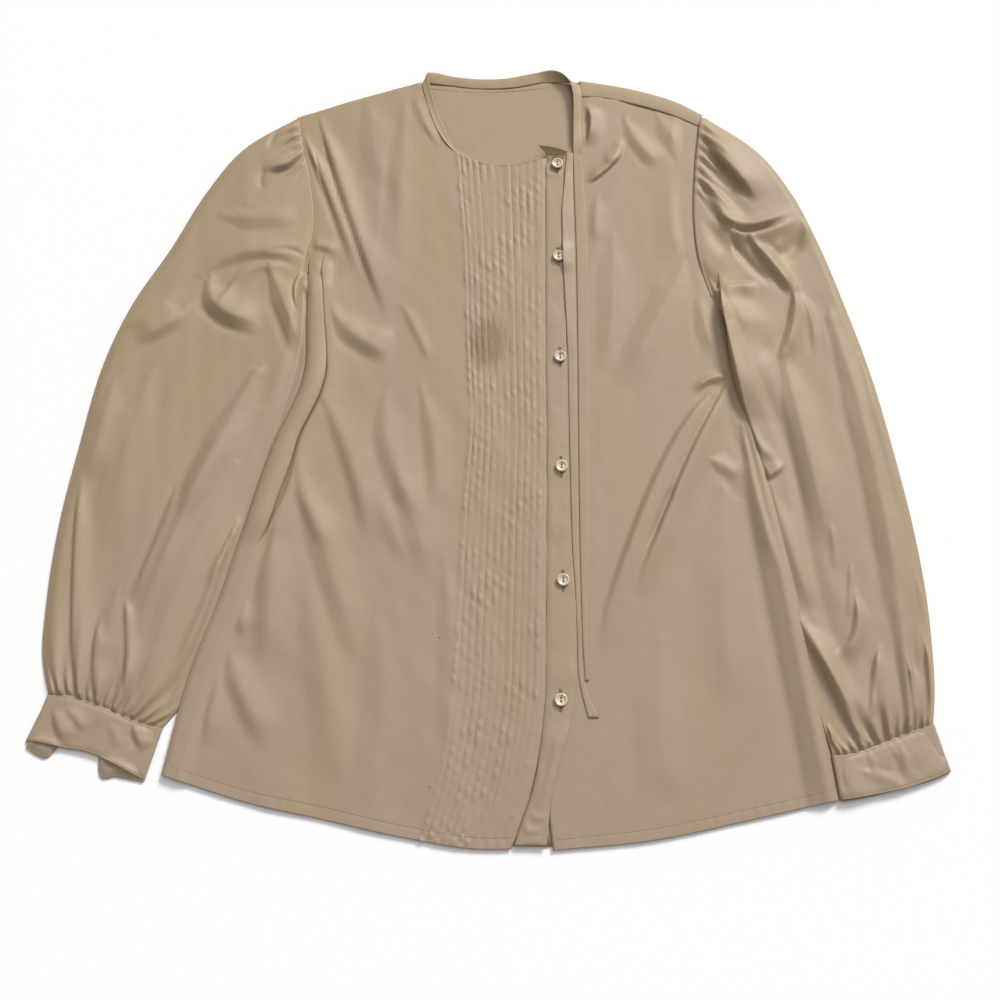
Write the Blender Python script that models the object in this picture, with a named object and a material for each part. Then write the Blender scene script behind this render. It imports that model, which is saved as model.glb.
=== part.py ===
"""A satin blouse laid flat on its back, with the neck towards +Y.

The wearer's right side is at -X. The back lies on the surface, the two fronts lie on
the back, the buttonhole band and the two neck ties lie on the fronts, and each sleeve
is a flattened tube. The right sleeve slips under the body's side and the left sleeve
lies over it. Each sewn piece is a wall of cloth in its own object, a seam's gap away
from its neighbours. Tables are in millimetres and each column has a name.
"""

import math

import bmesh
import bpy
import numpy as np

MM = 0.001

# Driving sizes, in millimetres.
CLOTH = 1.0  # wall of every panel
GAP = 0.3  # between two layers, and between pieces at a seam
LAYER_CLEAR = 1.5  # how much later a layer comes down than the one under it
SEAM = 1.0  # between pieces that meet edge to edge on a curve
FRONT_Z = CLOTH + GAP  # underside of a front, lying on the back
OVER_Z = FRONT_Z + CLOTH + GAP  # underside of what lies on a front or on a sleeve
OVERLAP = 11.0  # how far the body's right margin is lifted over its sleeve
LEFT_OVERLAP = 19.0  # how far the left sleeve's margin is lifted over the body
SLOPE = 14.0  # how far a lifted margin takes to come down again
ROWS = np.linspace(0, 1, 19)  # shares from the hem to the shoulder, the same in every panel
TUCK_COUNT = 13
TUCK_SHARE = 0.738  # share of the right front's width where the first tuck is
TUCK_HEIGHT = 0.8
TUCK_FOOT = 1.2  # width of the steep side of a tuck
BUTTON_R = 5.25
BUTTON_THICK = 2.4
BUTTON_RIM = 1.1
BUTTON_DISH = 0.7
BUTTON_HOLE_R = 0.75
BUTTON_HOLE_APART = 2.4


def table(columns, *rows):
    """Rows of numbers under named columns."""
    names = columns.split()
    return {name: np.array([row[i] for row in rows], float) for i, name in enumerate(names)}


# Edges of the panels. Share runs from 0 to 1 along the edge, from the hem to the
# shoulder or from the wearer's right to the left. A corner turns sharply.
RIGHT_SIDE = table(
    "share x y corner",
    (0.00, -252, -294, 0),
    (0.14, -235, -210, 0),
    (0.24, -216, -151, 0),
    (0.34, -201, -94, 0),
    (0.455, -182, -24, 0),
    (0.57, -158, 44, 0),
    (0.66, -162, 98, 0),
    (0.745, -160, 148, 1),
    (0.82, -158, 193, 0),
    (0.886, -163, 232, 0),
    (0.95, -171, 269, 0),
    (1.00, -177, 300, 0),
)
LEFT_SIDE = table(
    "share x y corner",
    (0.00, 275, -312, 0),
    (0.138, 265, -229, 0),
    (0.30, 254, -130, 0),
    (0.48, 233, -21, 0),
    (0.64, 209, 76, 0),
    (0.70, 194, 112, 1),
    (0.76, 189, 150, 0),
    (0.83, 186, 190, 0),
    (0.93, 190, 251, 0),
    (1.00, 194, 291, 0),
)
RIGHT_HEM = table(
    "share x y corner",
    (0.00, -252, -294, 0),
    (0.27, -179, -316, 0),
    (0.45, -131, -326, 0),
    (0.69, -66, -340, 0),
    (0.90, -7, -349, 0),
    (1.00, 19, -349, 0),
)
LEFT_HEM = table(
    "share x y corner",
    (0.00, 51, -350, 0),
    (0.33, 125, -343, 0),
    (0.71, 210, -326, 0),
    (1.00, 275, -312, 0),
)
RIGHT_TOP = table(
    "share x y corner",
    (0.00, -177, 300, 0),
    (0.25, -121, 320, 0),
    (0.47, -63, 339, 1),
    (0.53, -57, 317, 0),
    (0.60, -48, 289, 0),
    (0.738, -31, 264, 0),
    (0.80, -15, 256, 0),
    (0.90, 20, 251, 0),
    (1.00, 54, 259, 0),
)
LEFT_TOP = table(
    "share x y corner",
    (0.00, 59, 259, 0),
    (0.07, 74, 267, 0),
    (0.14, 82, 296, 0),
    (0.20, 82, 323, 1),
    (0.34, 104, 322, 0),
    (0.60, 135, 315, 0),
    (0.80, 160, 307, 0),
    (1.00, 194, 291, 0),
)
BUTTONHOLE_EDGE = table(
    "share x y corner",
    (0.00, 19, -349, 0),
    (0.06, 33, -311, 0),
    (0.17, 46, -245, 0),
    (0.29, 49, -171, 0),
    (0.52, 52, -34, 0),
    (0.84, 53, 157, 0),
    (1.00, 54, 259, 0),
)
BUTTON_EDGE = table(
    "share x y corner",
    (0.00, 51, -350, 0),
    (0.05, 48, -321, 0),
    (0.13, 54, -271, 0),
    (0.21, 58, -220, 0),
    (0.43, 57, -87, 0),
    (0.74, 55, 100, 0),
    (1.00, 59, 259, 0),
)
BACK_TOP = table(
    "share x y corner",
    (0.00, -177, 300, 0),
    (0.14, -121, 320, 0),
    (0.30, -63, 339, 1),
    (0.36, -40, 334, 0),
    (0.44, -12, 330, 0),
    (0.54, 25, 331, 0),
    (0.61, 52, 338, 0),
    (0.68, 84, 336, 1),
    (0.74, 104, 336, 0),
    (0.85, 147, 326, 0),
    (0.93, 176, 315, 0),
    (1.00, 197, 302, 0),
)
# Where the back turns over the left shoulder, and where that turned strip is sewn on.
SHOULDER_TURN = table(
    "fold_x fold_y seam_x seam_y",
    (84, 336, 82, 324),
    (104, 336, 104, 323),
    (128, 331, 135, 316),
    (147, 326, 160, 308),
    (176, 315, 178, 300),
    (197, 302, 194, 292),
)

# Sleeves: across one sleeve from the outer to the inner edge, at a share of its length.
SLEEVE_COLUMNS = "share outer_x outer_y inner_x inner_y crown"
RIGHT_SLEEVE = table(
    SLEEVE_COLUMNS,
    (0.00, -177, 300, -161, 148, 1.2),
    (0.08, -220, 271, -164, 126, 3.0),
    (0.19, -255, 222, -156, 88, 3.2),
    (0.30, -283, 164, -156, 44, 3.0),
    (0.41, -313, 108, -168, -4, 2.8),
    (0.52, -333, 48, -183, -60, 2.6),
    (0.63, -345, -24, -198, -114, 2.6),
    (0.74, -354, -90, -210, -160, 2.8),
    (0.85, -357, -155, -224, -202, 3.0),
    (0.93, -355, -198, -238, -236, 3.0),
    (1.00, -346, -231, -254, -257, 0.8),
)
LEFT_SLEEVE = table(
    SLEEVE_COLUMNS,
    (0.00, 198, 302, 199, 115, 1.2),
    (0.08, 240, 270, 207, 90, 3.4),
    (0.19, 272, 225, 208, 64, 3.6),
    (0.30, 295, 168, 212, 30, 3.2),
    (0.41, 315, 100, 224, -15, 2.8),
    (0.52, 331, 36, 236, -70, 2.6),
    (0.63, 344, -38, 239, -126, 2.6),
    (0.74, 353, -104, 246, -178, 2.8),
    (0.85, 357, -171, 255, -218, 3.2),
    (0.93, 355, -222, 262, -248, 3.2),
    (1.00, 350, -254, 269, -278, 0.8),
)
# Armholes, from the shoulder to the underarm.
RIGHT_ARMHOLE = table(
    "share x y corner",
    (0.00, -177, 300, 0),
    (0.20, -171, 269, 0),
    (0.45, -163, 232, 0),
    (0.71, -158, 193, 0),
    (1.00, -161, 148, 0),
)
LEFT_ARMHOLE = table(
    "share x y corner",
    (0.00, 198, 302, 0),
    (0.27, 191, 251, 0),
    (0.58, 187, 190, 0),
    (0.80, 190, 150, 0),
    (1.00, 199, 115, 0),
)
# Cuffs: the seam to the sleeve, the upper hem and the lower hem, across from the outer edge.
CUFF_COLUMNS = "share seam_x seam_y upper_x upper_y under_x under_y"
RIGHT_CUFF = table(
    CUFF_COLUMNS,
    (0.00, -347, -232, -361, -268, -360, -274),
    (0.20, -330, -232, -340, -271, -344, -281),
    (0.45, -305, -240, -317, -275, -319, -283),
    (0.70, -281, -250, -294, -283, -299, -291),
    (0.88, -266, -255, -276, -292, -284, -295),
    (1.00, -255, -258, -265, -298, -266, -299),
)
LEFT_CUFF = table(
    CUFF_COLUMNS,
    (0.00, 351, -255, 361, -291, 360, -292),
    (0.20, 336, -259, 346, -297, 345, -298),
    (0.45, 312, -268, 323, -304, 322, -304),
    (0.70, 290, -276, 298, -309, 297, -310),
    (0.88, 276, -279, 280, -312, 280, -313),
    (1.00, 269, -279, 273, -313, 273, -314),
)

# Buttonhole band: left and right edge, from the hem to the neck.
BAND = table(
    "y left right",
    (-347, 21, 46),
    (-328, 28, 48),
    (-305, 36, 51),
    (-280, 41, 58),
    (-250, 45, 67),
    (-171, 48, 72),
    (-104, 49, 69),
    (-34, 50, 68),
    (59, 50, 68),
    (157, 51, 68),
    (250, 52, 68),
)
# Neck ties: the edges and the height of the underside at each edge. The longer one
# climbs over a button that it half covers.
TIE_COLUMNS = "y left right left_z right_z"
LONG_TIE = table(
    TIE_COLUMNS,
    (252, 69.6, 76.1, 2.6, 2.6),
    (234, 69.0, 76.4, 4.0, 2.7),
    (205, 66.0, 77.0, 4.0, 2.7),
    (172, 66.0, 77.4, 4.0, 2.7),
    (163, 66.0, 77.6, 6.9, 2.9),
    (149, 66.2, 77.6, 6.9, 2.9),
    (139, 66.5, 77.6, 4.0, 2.7),
    (100, 68.0, 77.2, 4.0, 2.7),
    (60, 69.2, 77.0, 2.6, 2.6),
    (-10, 69.2, 76.5, 2.6, 2.6),
    (-74, 69.5, 75.8, 2.6, 2.6),
    (-113, 70.0, 75.4, 2.6, 2.6),
    (-140, 71.5, 75.2, 2.6, 2.6),
    (-187, 72.6, 75.4, 2.6, 2.6),
    (-214, 72.6, 76.2, 2.6, 2.6),
    (-222, 73.6, 77.4, 2.6, 2.6),
    (-236, 76.4, 82.0, 2.6, 2.6),
    (-250, 80.0, 88.5, 2.6, 2.6),
)
SHORT_TIE = table(
    TIE_COLUMNS,
    (259, 76.8, 86.0, 2.6, 2.6),
    (232, 77.2, 87.0, 2.6, 2.6),
    (200, 77.8, 88.0, 2.6, 2.6),
    (156, 78.4, 89.0, 2.6, 2.6),
    (60, 77.8, 88.6, 2.6, 2.6),
    (-42, 76.6, 85.4, 2.6, 2.6),
    (-104, 76.2, 84.6, 2.6, 2.6),
    (-150, 76.4, 81.8, 2.6, 2.6),
    (-190, 76.8, 81.0, 2.6, 2.6),
    (-221, 78.2, 81.0, 2.6, 2.6),
)
# Neck band: the middle of its wall along its sewn edge and its free edge, once round
# the neck. It is rolled under along the front, leans up at the right neck, lies flat
# behind, turns over at the left shoulder and leans inwards down the left neck.
NECK_BAND = table(
    "seam_x seam_y seam_z free_x free_y free_z",
    (67.0, 263.6, 3.4, 68.0, 266.5, 9.5),
    (58.0, 263.2, 3.3, 58.5, 267.4, 10.0),
    (50.0, 261.2, 3.2, 49.0, 267.0, 6.5),
    (38.0, 258.6, 2.9, 37.0, 263.0, 3.0),
    (20.0, 253.6, 2.7, 20.0, 257.0, 1.9),
    (0.0, 253.8, 2.7, 1.0, 257.2, 1.9),
    (-15.0, 258.6, 2.7, -13.6, 262.0, 1.9),
    (-29.0, 265.8, 2.7, -26.0, 269.0, 1.9),
    (-39.0, 276.6, 2.7, -33.0, 280.0, 3.4),
    (-45.5, 289.0, 2.7, -39.0, 291.0, 6.0),
    (-51.0, 303.0, 2.7, -45.5, 304.0, 7.6),
    (-55.0, 318.0, 2.7, -50.5, 318.0, 8.0),
    (-59.0, 333.0, 2.7, -54.5, 337.0, 8.0),
    (-61.4, 341.6, 2.2, -57.0, 347.6, 7.4),
    (-58.0, 342.4, 0.8, -54.0, 349.6, 4.4),
    (-50.0, 339.6, 0.6, -47.0, 349.4, 1.8),
    (-36.0, 335.6, 0.6, -34.0, 346.0, 0.9),
    (-12.0, 332.0, 0.6, -11.0, 343.2, 0.6),
    (14.0, 332.0, 0.6, 14.0, 343.6, 0.6),
    (34.0, 335.0, 0.6, 32.0, 346.6, 0.9),
    (50.0, 340.0, 0.6, 45.5, 349.4, 1.8),
    (64.0, 340.4, 0.7, 57.5, 349.0, 5.4),
    (75.0, 339.8, 1.0, 67.0, 344.5, 8.6),
    (82.6, 339.0, 2.6, 72.6, 337.0, 9.8),
    (84.6, 331.0, 4.4, 75.0, 326.5, 10.2),
    (84.6, 322.0, 4.2, 76.0, 317.0, 10.0),
    (84.4, 309.0, 3.6, 76.0, 305.0, 9.4),
    (84.2, 292.0, 3.2, 75.6, 290.0, 8.6),
    (84.2, 276.0, 3.2, 75.6, 275.0, 7.0),
    (85.4, 262.0, 3.2, 76.6, 261.6, 3.6),
)
# Buttons on the band, from the neck to the hem.
BUTTONS = table("x y", (62.6, 250), (62.4, 156), (62.4, 59), (62.0, -41), (62.0, -139), (58.6, -236))

# The largest folds, each a soft ridge from its start by its middle to its end.
FOLD_COLUMNS = "x0 y0 xm ym x1 y1 width height"
FRONT_RIGHT_FOLDS = table(
    FOLD_COLUMNS,
    (-150, 290, -124, 205, -116, 135, 16, 3.0),
    (-140, 98, -112, 82, -88, 68, 15, 4.0),
    (-138, 4, -120, -32, -112, -62, 14, 2.2),
    (-152, -50, -134, -92, -120, -118, 14, 2.2),
    (-100, 196, -86, 150, -80, 105, 18, 1.8),
    (-190, -190, -184, -225, -168, -262, 16, 2.0),
)
FRONT_LEFT_FOLDS = table(
    FOLD_COLUMNS,
    (96, 225, 113, 243, 134, 275, 13, 2.6),
    (140, 282, 150, 262, 162, 250, 13, 1.8),
    (162, 160, 132, 75, 112, 18, 20, 2.6),
    (178, 30, 134, -70, 98, -160, 15, 2.8),
    (174, -18, 154, -58, 122, -134, 14, 2.0),
    (124, 214, 114, 186, 106, 160, 18, 2.0),
    (196, -90, 186, -170, 180, -250, 20, 1.8),
)
RIGHT_SLEEVE_FOLDS = table(
    FOLD_COLUMNS,
    (-194, 283, -203, 262, -206, 246, 14, 2.4),
    (-178, 248, -200, 240, -226, 234, 13, 2.6),
    (-292, 96, -246, 134, -190, 156, 15, 4.6),
    (-186, 134, -176, 96, -168, 56, 14, 2.6),
    (-256, 122, -236, 92, -204, 78, 16, 2.6),
    (-276, -124, -292, -160, -300, -210, 18, 2.8),
    (-340, -120, -338, -170, -333, -218, 14, 2.4),
    (-254, -206, -268, -228, -284, -246, 13, 2.8),
)
LEFT_SLEEVE_FOLDS = table(
    FOLD_COLUMNS,
    (202, 262, 222, 232, 250, 196, 17, 5.0),
    (222, 192, 244, 196, 284, 200, 14, 4.0),
    (248, 164, 272, 126, 282, 92, 15, 4.2),
    (226, 156, 244, 126, 252, 92, 15, 2.8),
    (262, 40, 272, -20, 276, -90, 18, 2.4),
    (300, -30, 306, -100, 308, -170, 20, 2.4),
    (262, -180, 280, -214, 296, -248, 13, 3.0),
    (320, -196, 326, -226, 332, -252, 13, 2.4),
)


def ramp(value, start, end):
    """0 before start and 1 after end, with a smooth rise between."""
    t = np.clip((value - start) / (end - start), 0, 1)
    return t * t * (3 - 2 * t)


def line_through(rows, share):
    """Points of the smooth line through a table's rows, at shares of its length."""
    share = np.asarray(share, float)
    points = np.empty(share.shape + (2,))
    knots = rows["share"]
    corners = [i for i in range(1, len(knots) - 1) if rows["corner"][i]]
    ends = [0, *corners, len(knots) - 1]
    for first, last in zip(ends, ends[1:]):
        part = slice(first, last + 1)
        k = knots[part]
        inside = (share >= k[0] - 1e-9) & (share <= k[-1] + 1e-9)
        s = share[inside]
        i = np.clip(np.searchsorted(k, s, side="right") - 1, 0, len(k) - 2)
        h = k[i + 1] - k[i]
        t = (s - k[i]) / h
        for axis, name in enumerate("xy"):
            value = rows[name][part]
            slope = np.gradient(value, k)
            points[inside, axis] = (
                value[i] * (1 + 2 * t) * (1 - t) ** 2
                + slope[i] * h * t * (1 - t) ** 2
                + value[i + 1] * t * t * (3 - 2 * t)
                + slope[i + 1] * h * t * t * (t - 1)
            )
    return points


def smooth_columns(rows, knots, at):
    """The named columns of a table at new places along its knots, smoothly interpolated."""
    result = {}
    for name, value in rows.items():
        line = {"share": knots, "x": value, "y": value, "corner": np.zeros(len(knots))}
        result[name] = line_through(line, at)[..., 0]
    return result


def patch(bottom, top, left, right, across, up):
    """Points inside four edges: across and up are arrays of shares of the same shape."""
    low, high = line_through(bottom, across), line_through(top, across)
    first, last = line_through(left, up), line_through(right, up)
    u, v = across[..., None], up[..., None]
    corner = {
        (i, j): line_through(edge, np.full(across.shape, float(i)))
        for j, edge in enumerate((bottom, top))
        for i in (0, 1)
    }
    blend = sum(
        (u if i else 1 - u) * (v if j else 1 - v) * point for (i, j), point in corner.items()
    )
    return (1 - v) * low + v * high + (1 - u) * first + u * last - blend


def folded(rows, x, y):
    """Height added by a table of folds at each point."""
    height = np.zeros(x.shape)
    t = np.linspace(0, 1, 33)
    for i in range(len(rows["x0"])):
        fold = {name: value[i] for name, value in rows.items()}
        bend_x = 2 * fold["xm"] - (fold["x0"] + fold["x1"]) / 2
        bend_y = 2 * fold["ym"] - (fold["y0"] + fold["y1"]) / 2
        px = (1 - t) ** 2 * fold["x0"] + 2 * t * (1 - t) * bend_x + t * t * fold["x1"]
        py = (1 - t) ** 2 * fold["y0"] + 2 * t * (1 - t) * bend_y + t * t * fold["y1"]
        away = np.hypot(x[..., None] - px, y[..., None] - py)
        nearest = away.argmin(-1)
        taper = np.sin(math.pi * np.clip(t[nearest], 0.04, 0.96)) ** 0.6
        height += fold["height"] * taper * np.exp(-((away.min(-1) / (0.55 * fold["width"])) ** 2))
    return height


def shares_between(margins, count, width):
    """Shares across each row of a panel: the margins in mm from each side, and count
    even steps between them."""
    first, last = margins
    rows = []
    for w in width:
        inner = np.linspace(first[-1] / w, 1 - last[-1] / w, count + 1)
        before = [m / w for m in first[:-1]]
        after = [1 - m / w for m in reversed(last[:-1])]
        rows.append([*before, *inner, *after])
    return np.array(rows)


def raised(xy, z):
    """Points in the plane with their heights."""
    return np.dstack([xy, z])


class Wall:
    """A wall of cloth under construction: patches whose points know both of their faces."""

    def __init__(self):
        self.mesh = bmesh.new()
        self.other = self.mesh.verts.layers.float_vector.new("other_face")

    def add(self, face, other):
        """Adds a grid of points, in rows, with the matching points of the other face."""
        rows, columns = face.shape[:2]
        made = bmesh.ops.create_grid(self.mesh, x_segments=columns - 1, y_segments=rows - 1, size=1)
        for vert, place, behind in zip(made["verts"], face.reshape(-1, 3), other.reshape(-1, 3)):
            vert.co = place * MM
            vert[self.other] = behind * MM

    def finish(self, name, material):
        """Joins the patches, gives them their thickness and puts the piece in the scene."""
        mesh = self.mesh
        bmesh.ops.remove_doubles(mesh, verts=mesh.verts, dist=1e-6)
        grown = bmesh.ops.extrude_face_region(mesh, geom=mesh.faces[:])
        for element in grown["geom"]:
            if isinstance(element, bmesh.types.BMVert):
                element.co = element[self.other]
        bmesh.ops.recalc_face_normals(mesh, faces=mesh.faces)
        data = bpy.data.meshes.new(name)
        mesh.to_mesh(data)
        mesh.free()
        data.attributes.remove(data.attributes["other_face"])
        piece = bpy.data.objects.new(name, data)
        piece.data.materials.append(material)
        data.shade_smooth()
        data.set_sharp_from_angle(angle=math.radians(40))
        bpy.context.scene.collection.objects.link(piece)
        return piece


def finish_of(name, colour, roughness, metallic=0.0):
    """A plain material."""
    material = bpy.data.materials.new(name)
    material.use_nodes = True
    shader = material.node_tree.nodes["Principled BSDF"]
    shader.inputs["Base Color"].default_value = (*colour, 1)
    shader.inputs["Roughness"].default_value = roughness
    shader.inputs["Metallic"].default_value = metallic
    return material


def plain_wall(name, material, xy, under, thickness=CLOTH):
    """A panel whose thickness is measured straight up."""
    wall = Wall()
    wall.add(raised(xy, under), raised(xy, under + thickness))
    return wall.finish(name, material)


def right_margin_lift(distance, y, clear=0.0):
    """Height of the body's right margin over the sleeve that slips under it. A layer on
    the back comes down a little later than the back does, to stay clear of it."""
    inwards = 1 - ramp(distance, OVERLAP + clear, OVERLAP + SLOPE + clear)
    return OVER_Z * inwards * (1 - ramp(y, 118 + clear, 146 + clear))


def edge_widths(left, right, up):
    return np.linalg.norm(line_through(right, up) - line_through(left, up), axis=-1)


def inset(rows, dx, dy):
    """A table's edge moved in the plane."""
    return {**rows, "x": rows["x"] + dx, "y": rows["y"] + dy}


def make_back(material):
    """The back: flat on the surface, its margin over the right sleeve, and the strip that
    turns over the left shoulder to the front's seam."""
    up = ROWS
    hem = table(
        "share x y corner",
        (0.00, -251, -292, 0),
        (0.24, -131, -323, 0),
        (0.48, -7, -345, 0),
        (0.60, 59, -347, 0),
        (0.86, 210, -323, 0),
        (1.00, 274, -309, 0),
    )
    left = inset(RIGHT_SIDE, 0.4, 0)
    right = inset(LEFT_SIDE, -0.4, 0)
    left["y"][0], right["y"][0], left["x"][0], right["x"][0] = -292, -309, -251, 274
    right["x"][-1], right["y"][-1] = 197, 302
    top = {**BACK_TOP, "x": BACK_TOP["x"].copy()}
    top["x"][0] += 0.4
    width = edge_widths(left, right, up)
    shoulder = np.linspace(0.68, 1, 6)
    before = shares_between(((0, OVERLAP, OVERLAP + SLOPE), (0,)), 10, width * 0.68)[:, :-1] * 0.68
    across = np.hstack([before, np.tile(shoulder, (len(up), 1))])
    xy = patch(hem, top, left, right, across, np.repeat(up[:, None], across.shape[1], 1))
    distance = np.linalg.norm(xy - xy[:, :1], axis=-1)
    under = right_margin_lift(distance, xy[..., 1])
    wall = Wall()
    wall.add(raised(xy, under), raised(xy, under + CLOTH))

    turn = smooth_columns(SHOULDER_TURN, np.linspace(0, 1, 6), np.linspace(0, 1, 6))
    fold = xy[-1, -6:]
    seam = np.column_stack([turn["seam_x"], turn["seam_y"] + SEAM])
    outward = (fold - seam) / np.linalg.norm(fold - seam, axis=1)[:, None]
    high = FRONT_Z + CLOTH
    profile = (
        # outwards, outer height, outwards, inner height
        (0.0, 0.0, 0.0, CLOTH),
        (1.2, 0.5, 0.2, CLOTH + 0.05),
        (1.2, high - 0.5, 0.2, FRONT_Z - 0.05),
        (0.0, high, 0.0, FRONT_Z),
    )
    outer = [raised((fold + out * outward)[None], np.full((1, 6), z))[0] for out, z, _, _ in profile]
    inner = [raised((fold + out * outward)[None], np.full((1, 6), z))[0] for _, _, out, z in profile]
    for part in (0.5, 1.0):
        line = fold + part * (seam - fold)
        outer.append(raised(line[None], np.full((1, 6), high))[0])
        inner.append(raised(line[None], np.full((1, 6), FRONT_Z))[0])
    wall.add(np.array(outer), np.array(inner))
    return wall.finish("back", material)


def make_front_right(material):
    """The right front with its pintucks, each a small fold pressed towards the side."""
    up = ROWS
    width = edge_widths(RIGHT_SIDE, BUTTONHOLE_EDGE, up)
    plain = shares_between(((0, OVERLAP, OVERLAP + SLOPE), (0,)), 7, width * TUCK_SHARE) * TUCK_SHARE
    pitch = (1 - TUCK_SHARE) / TUCK_COUNT
    tucks, relief = [], [0.0] * plain.shape[1]
    for tuck in range(TUCK_COUNT):
        foot = TUCK_SHARE + (tuck + 1) * pitch
        tucks += [foot - TUCK_FOOT / width, np.full(len(up), foot)]
        relief += [TUCK_HEIGHT, 0.0]
    across = np.hstack([plain, np.column_stack(tucks)])
    across[:, -1] = 1 - SEAM / width
    up_grid = np.repeat(up[:, None], across.shape[1], 1)
    xy = patch(RIGHT_HEM, RIGHT_TOP, RIGHT_SIDE, BUTTONHOLE_EDGE, across, up_grid)
    distance = np.linalg.norm(xy - xy[:, :1], axis=-1)
    y = xy[..., 1]
    edges = ramp(distance, OVERLAP, 2 * OVERLAP) * ramp(across, 1, 0.95)
    folds = folded(FRONT_RIGHT_FOLDS, xy[..., 0], y) * edges
    under = FRONT_Z + right_margin_lift(distance, y, LAYER_CLEAR) + folds
    relief = np.array(relief) * ramp(1 - up_grid, 0, 0.05) * ramp(across, 0.985, 0.95)
    return plain_wall("front_right", material, xy, under, CLOTH + relief)


def make_front_left(material):
    """The left front, flat where the band and the ties lie on it and under the sleeve."""
    up = ROWS
    width = edge_widths(BUTTON_EDGE, LEFT_SIDE, up)
    across = shares_between(((0, 32), (0, 16)), 11, width)
    up_grid = np.repeat(up[:, None], across.shape[1], 1)
    xy = patch(LEFT_HEM, LEFT_TOP, BUTTON_EDGE, LEFT_SIDE, across, up_grid)
    x, y = xy[..., 0], xy[..., 1]
    to_side = np.linalg.norm(xy - xy[:, -1:], axis=-1)
    flat_edges = ramp(x, 90, 100) * ramp(to_side, 16, 30) * ramp(1 - up_grid, 0, 0.05)
    return plain_wall("front_left", material, xy, FRONT_Z + folded(FRONT_LEFT_FOLDS, x, y) * flat_edges)


def make_sleeve(name, material, rows, armhole, cuff, folds, lifted):
    """A flattened tube: its upper and lower layers join at the outer and inner edges."""
    along = np.linspace(0, 1, 19)
    section = smooth_columns(rows, rows["share"], along)
    outer = np.column_stack([section["outer_x"], section["outer_y"]])
    inner = np.column_stack([section["inner_x"], section["inner_y"]])
    width = np.linalg.norm(inner - outer, axis=1)
    overlap = LEFT_OVERLAP if lifted else OVERLAP
    margins = (0, overlap, overlap + SLOPE)
    across = shares_between(((0, 6), margins), 8, width)
    xy = outer[:, None] + across[..., None] * (inner - outer)[:, None]
    # The head follows the armhole and the wrist follows the cuff, fading in a few rows.
    straight_head = outer[0] + across[0][:, None] * (inner[0] - outer[0])
    head = line_through(armhole, across[0]) - straight_head
    straight_wrist = outer[-1] + across[-1][:, None] * (inner[-1] - outer[-1])
    seam = {"share": cuff["share"], "x": cuff["seam_x"], "y": cuff["seam_y"], "corner": cuff["share"] * 0}
    wrist = line_through(seam, across[-1]) + np.array([0, SEAM]) - straight_wrist
    fade = along[:, None, None]
    xy = xy + head * (1 - ramp(fade, 0, 0.3)) + wrist * ramp(fade, 0.85, 1)
    away = (xy[1] - xy[0]) / np.linalg.norm(xy[1] - xy[0], axis=-1)[:, None]
    xy[0] += SEAM * away
    to_inner = np.linalg.norm(xy - xy[:, -1:], axis=-1)
    to_outer = np.linalg.norm(xy - xy[:, :1], axis=-1)
    crown = section["crown"][:, None] * ramp(to_outer, 0, 30) * ramp(to_inner, overlap, 45)
    ends = ramp(along, 0, 0.06) * ramp(along, 1, 0.96)
    relief = folded(folds, xy[..., 0], xy[..., 1]) * ends[:, None]
    relief = relief * ramp(to_inner, overlap, overlap + SLOPE) * ramp(to_outer, 0, 12)
    lift = np.zeros(across.shape)
    if lifted:
        lift = OVER_Z * (1 - ramp(to_inner, *margins[1:])) * ramp(along[:, None], 0, 0.055)
    floor = lift
    roof = lift + FRONT_Z + CLOTH + crown + relief
    rim = np.ones(across.shape[1])
    rim[0] = rim[-1] = 0
    out_low, out_high = floor + 0.4 * (1 - rim), roof - 0.4 * (1 - rim)
    in_low, in_high = floor + CLOTH, roof - CLOTH
    inward = (inner - outer) / width[:, None]
    in_xy = xy.copy()
    in_xy[:, 0] += CLOTH * inward
    in_xy[:, -1] -= CLOTH * inward
    wall = Wall()
    wall.add(raised(xy, out_high), raised(in_xy, in_high))
    wall.add(raised(xy, out_low), raised(in_xy, in_low))
    for edge in (0, -1):
        pair = [raised(xy[:, edge, None], z[:, edge, None])[:, 0] for z in (out_low, out_high)]
        behind = [raised(in_xy[:, edge, None], z[:, edge, None])[:, 0] for z in (in_low, in_high)]
        wall.add(np.array(pair), np.array(behind))
    return wall.finish(name, material)


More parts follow.
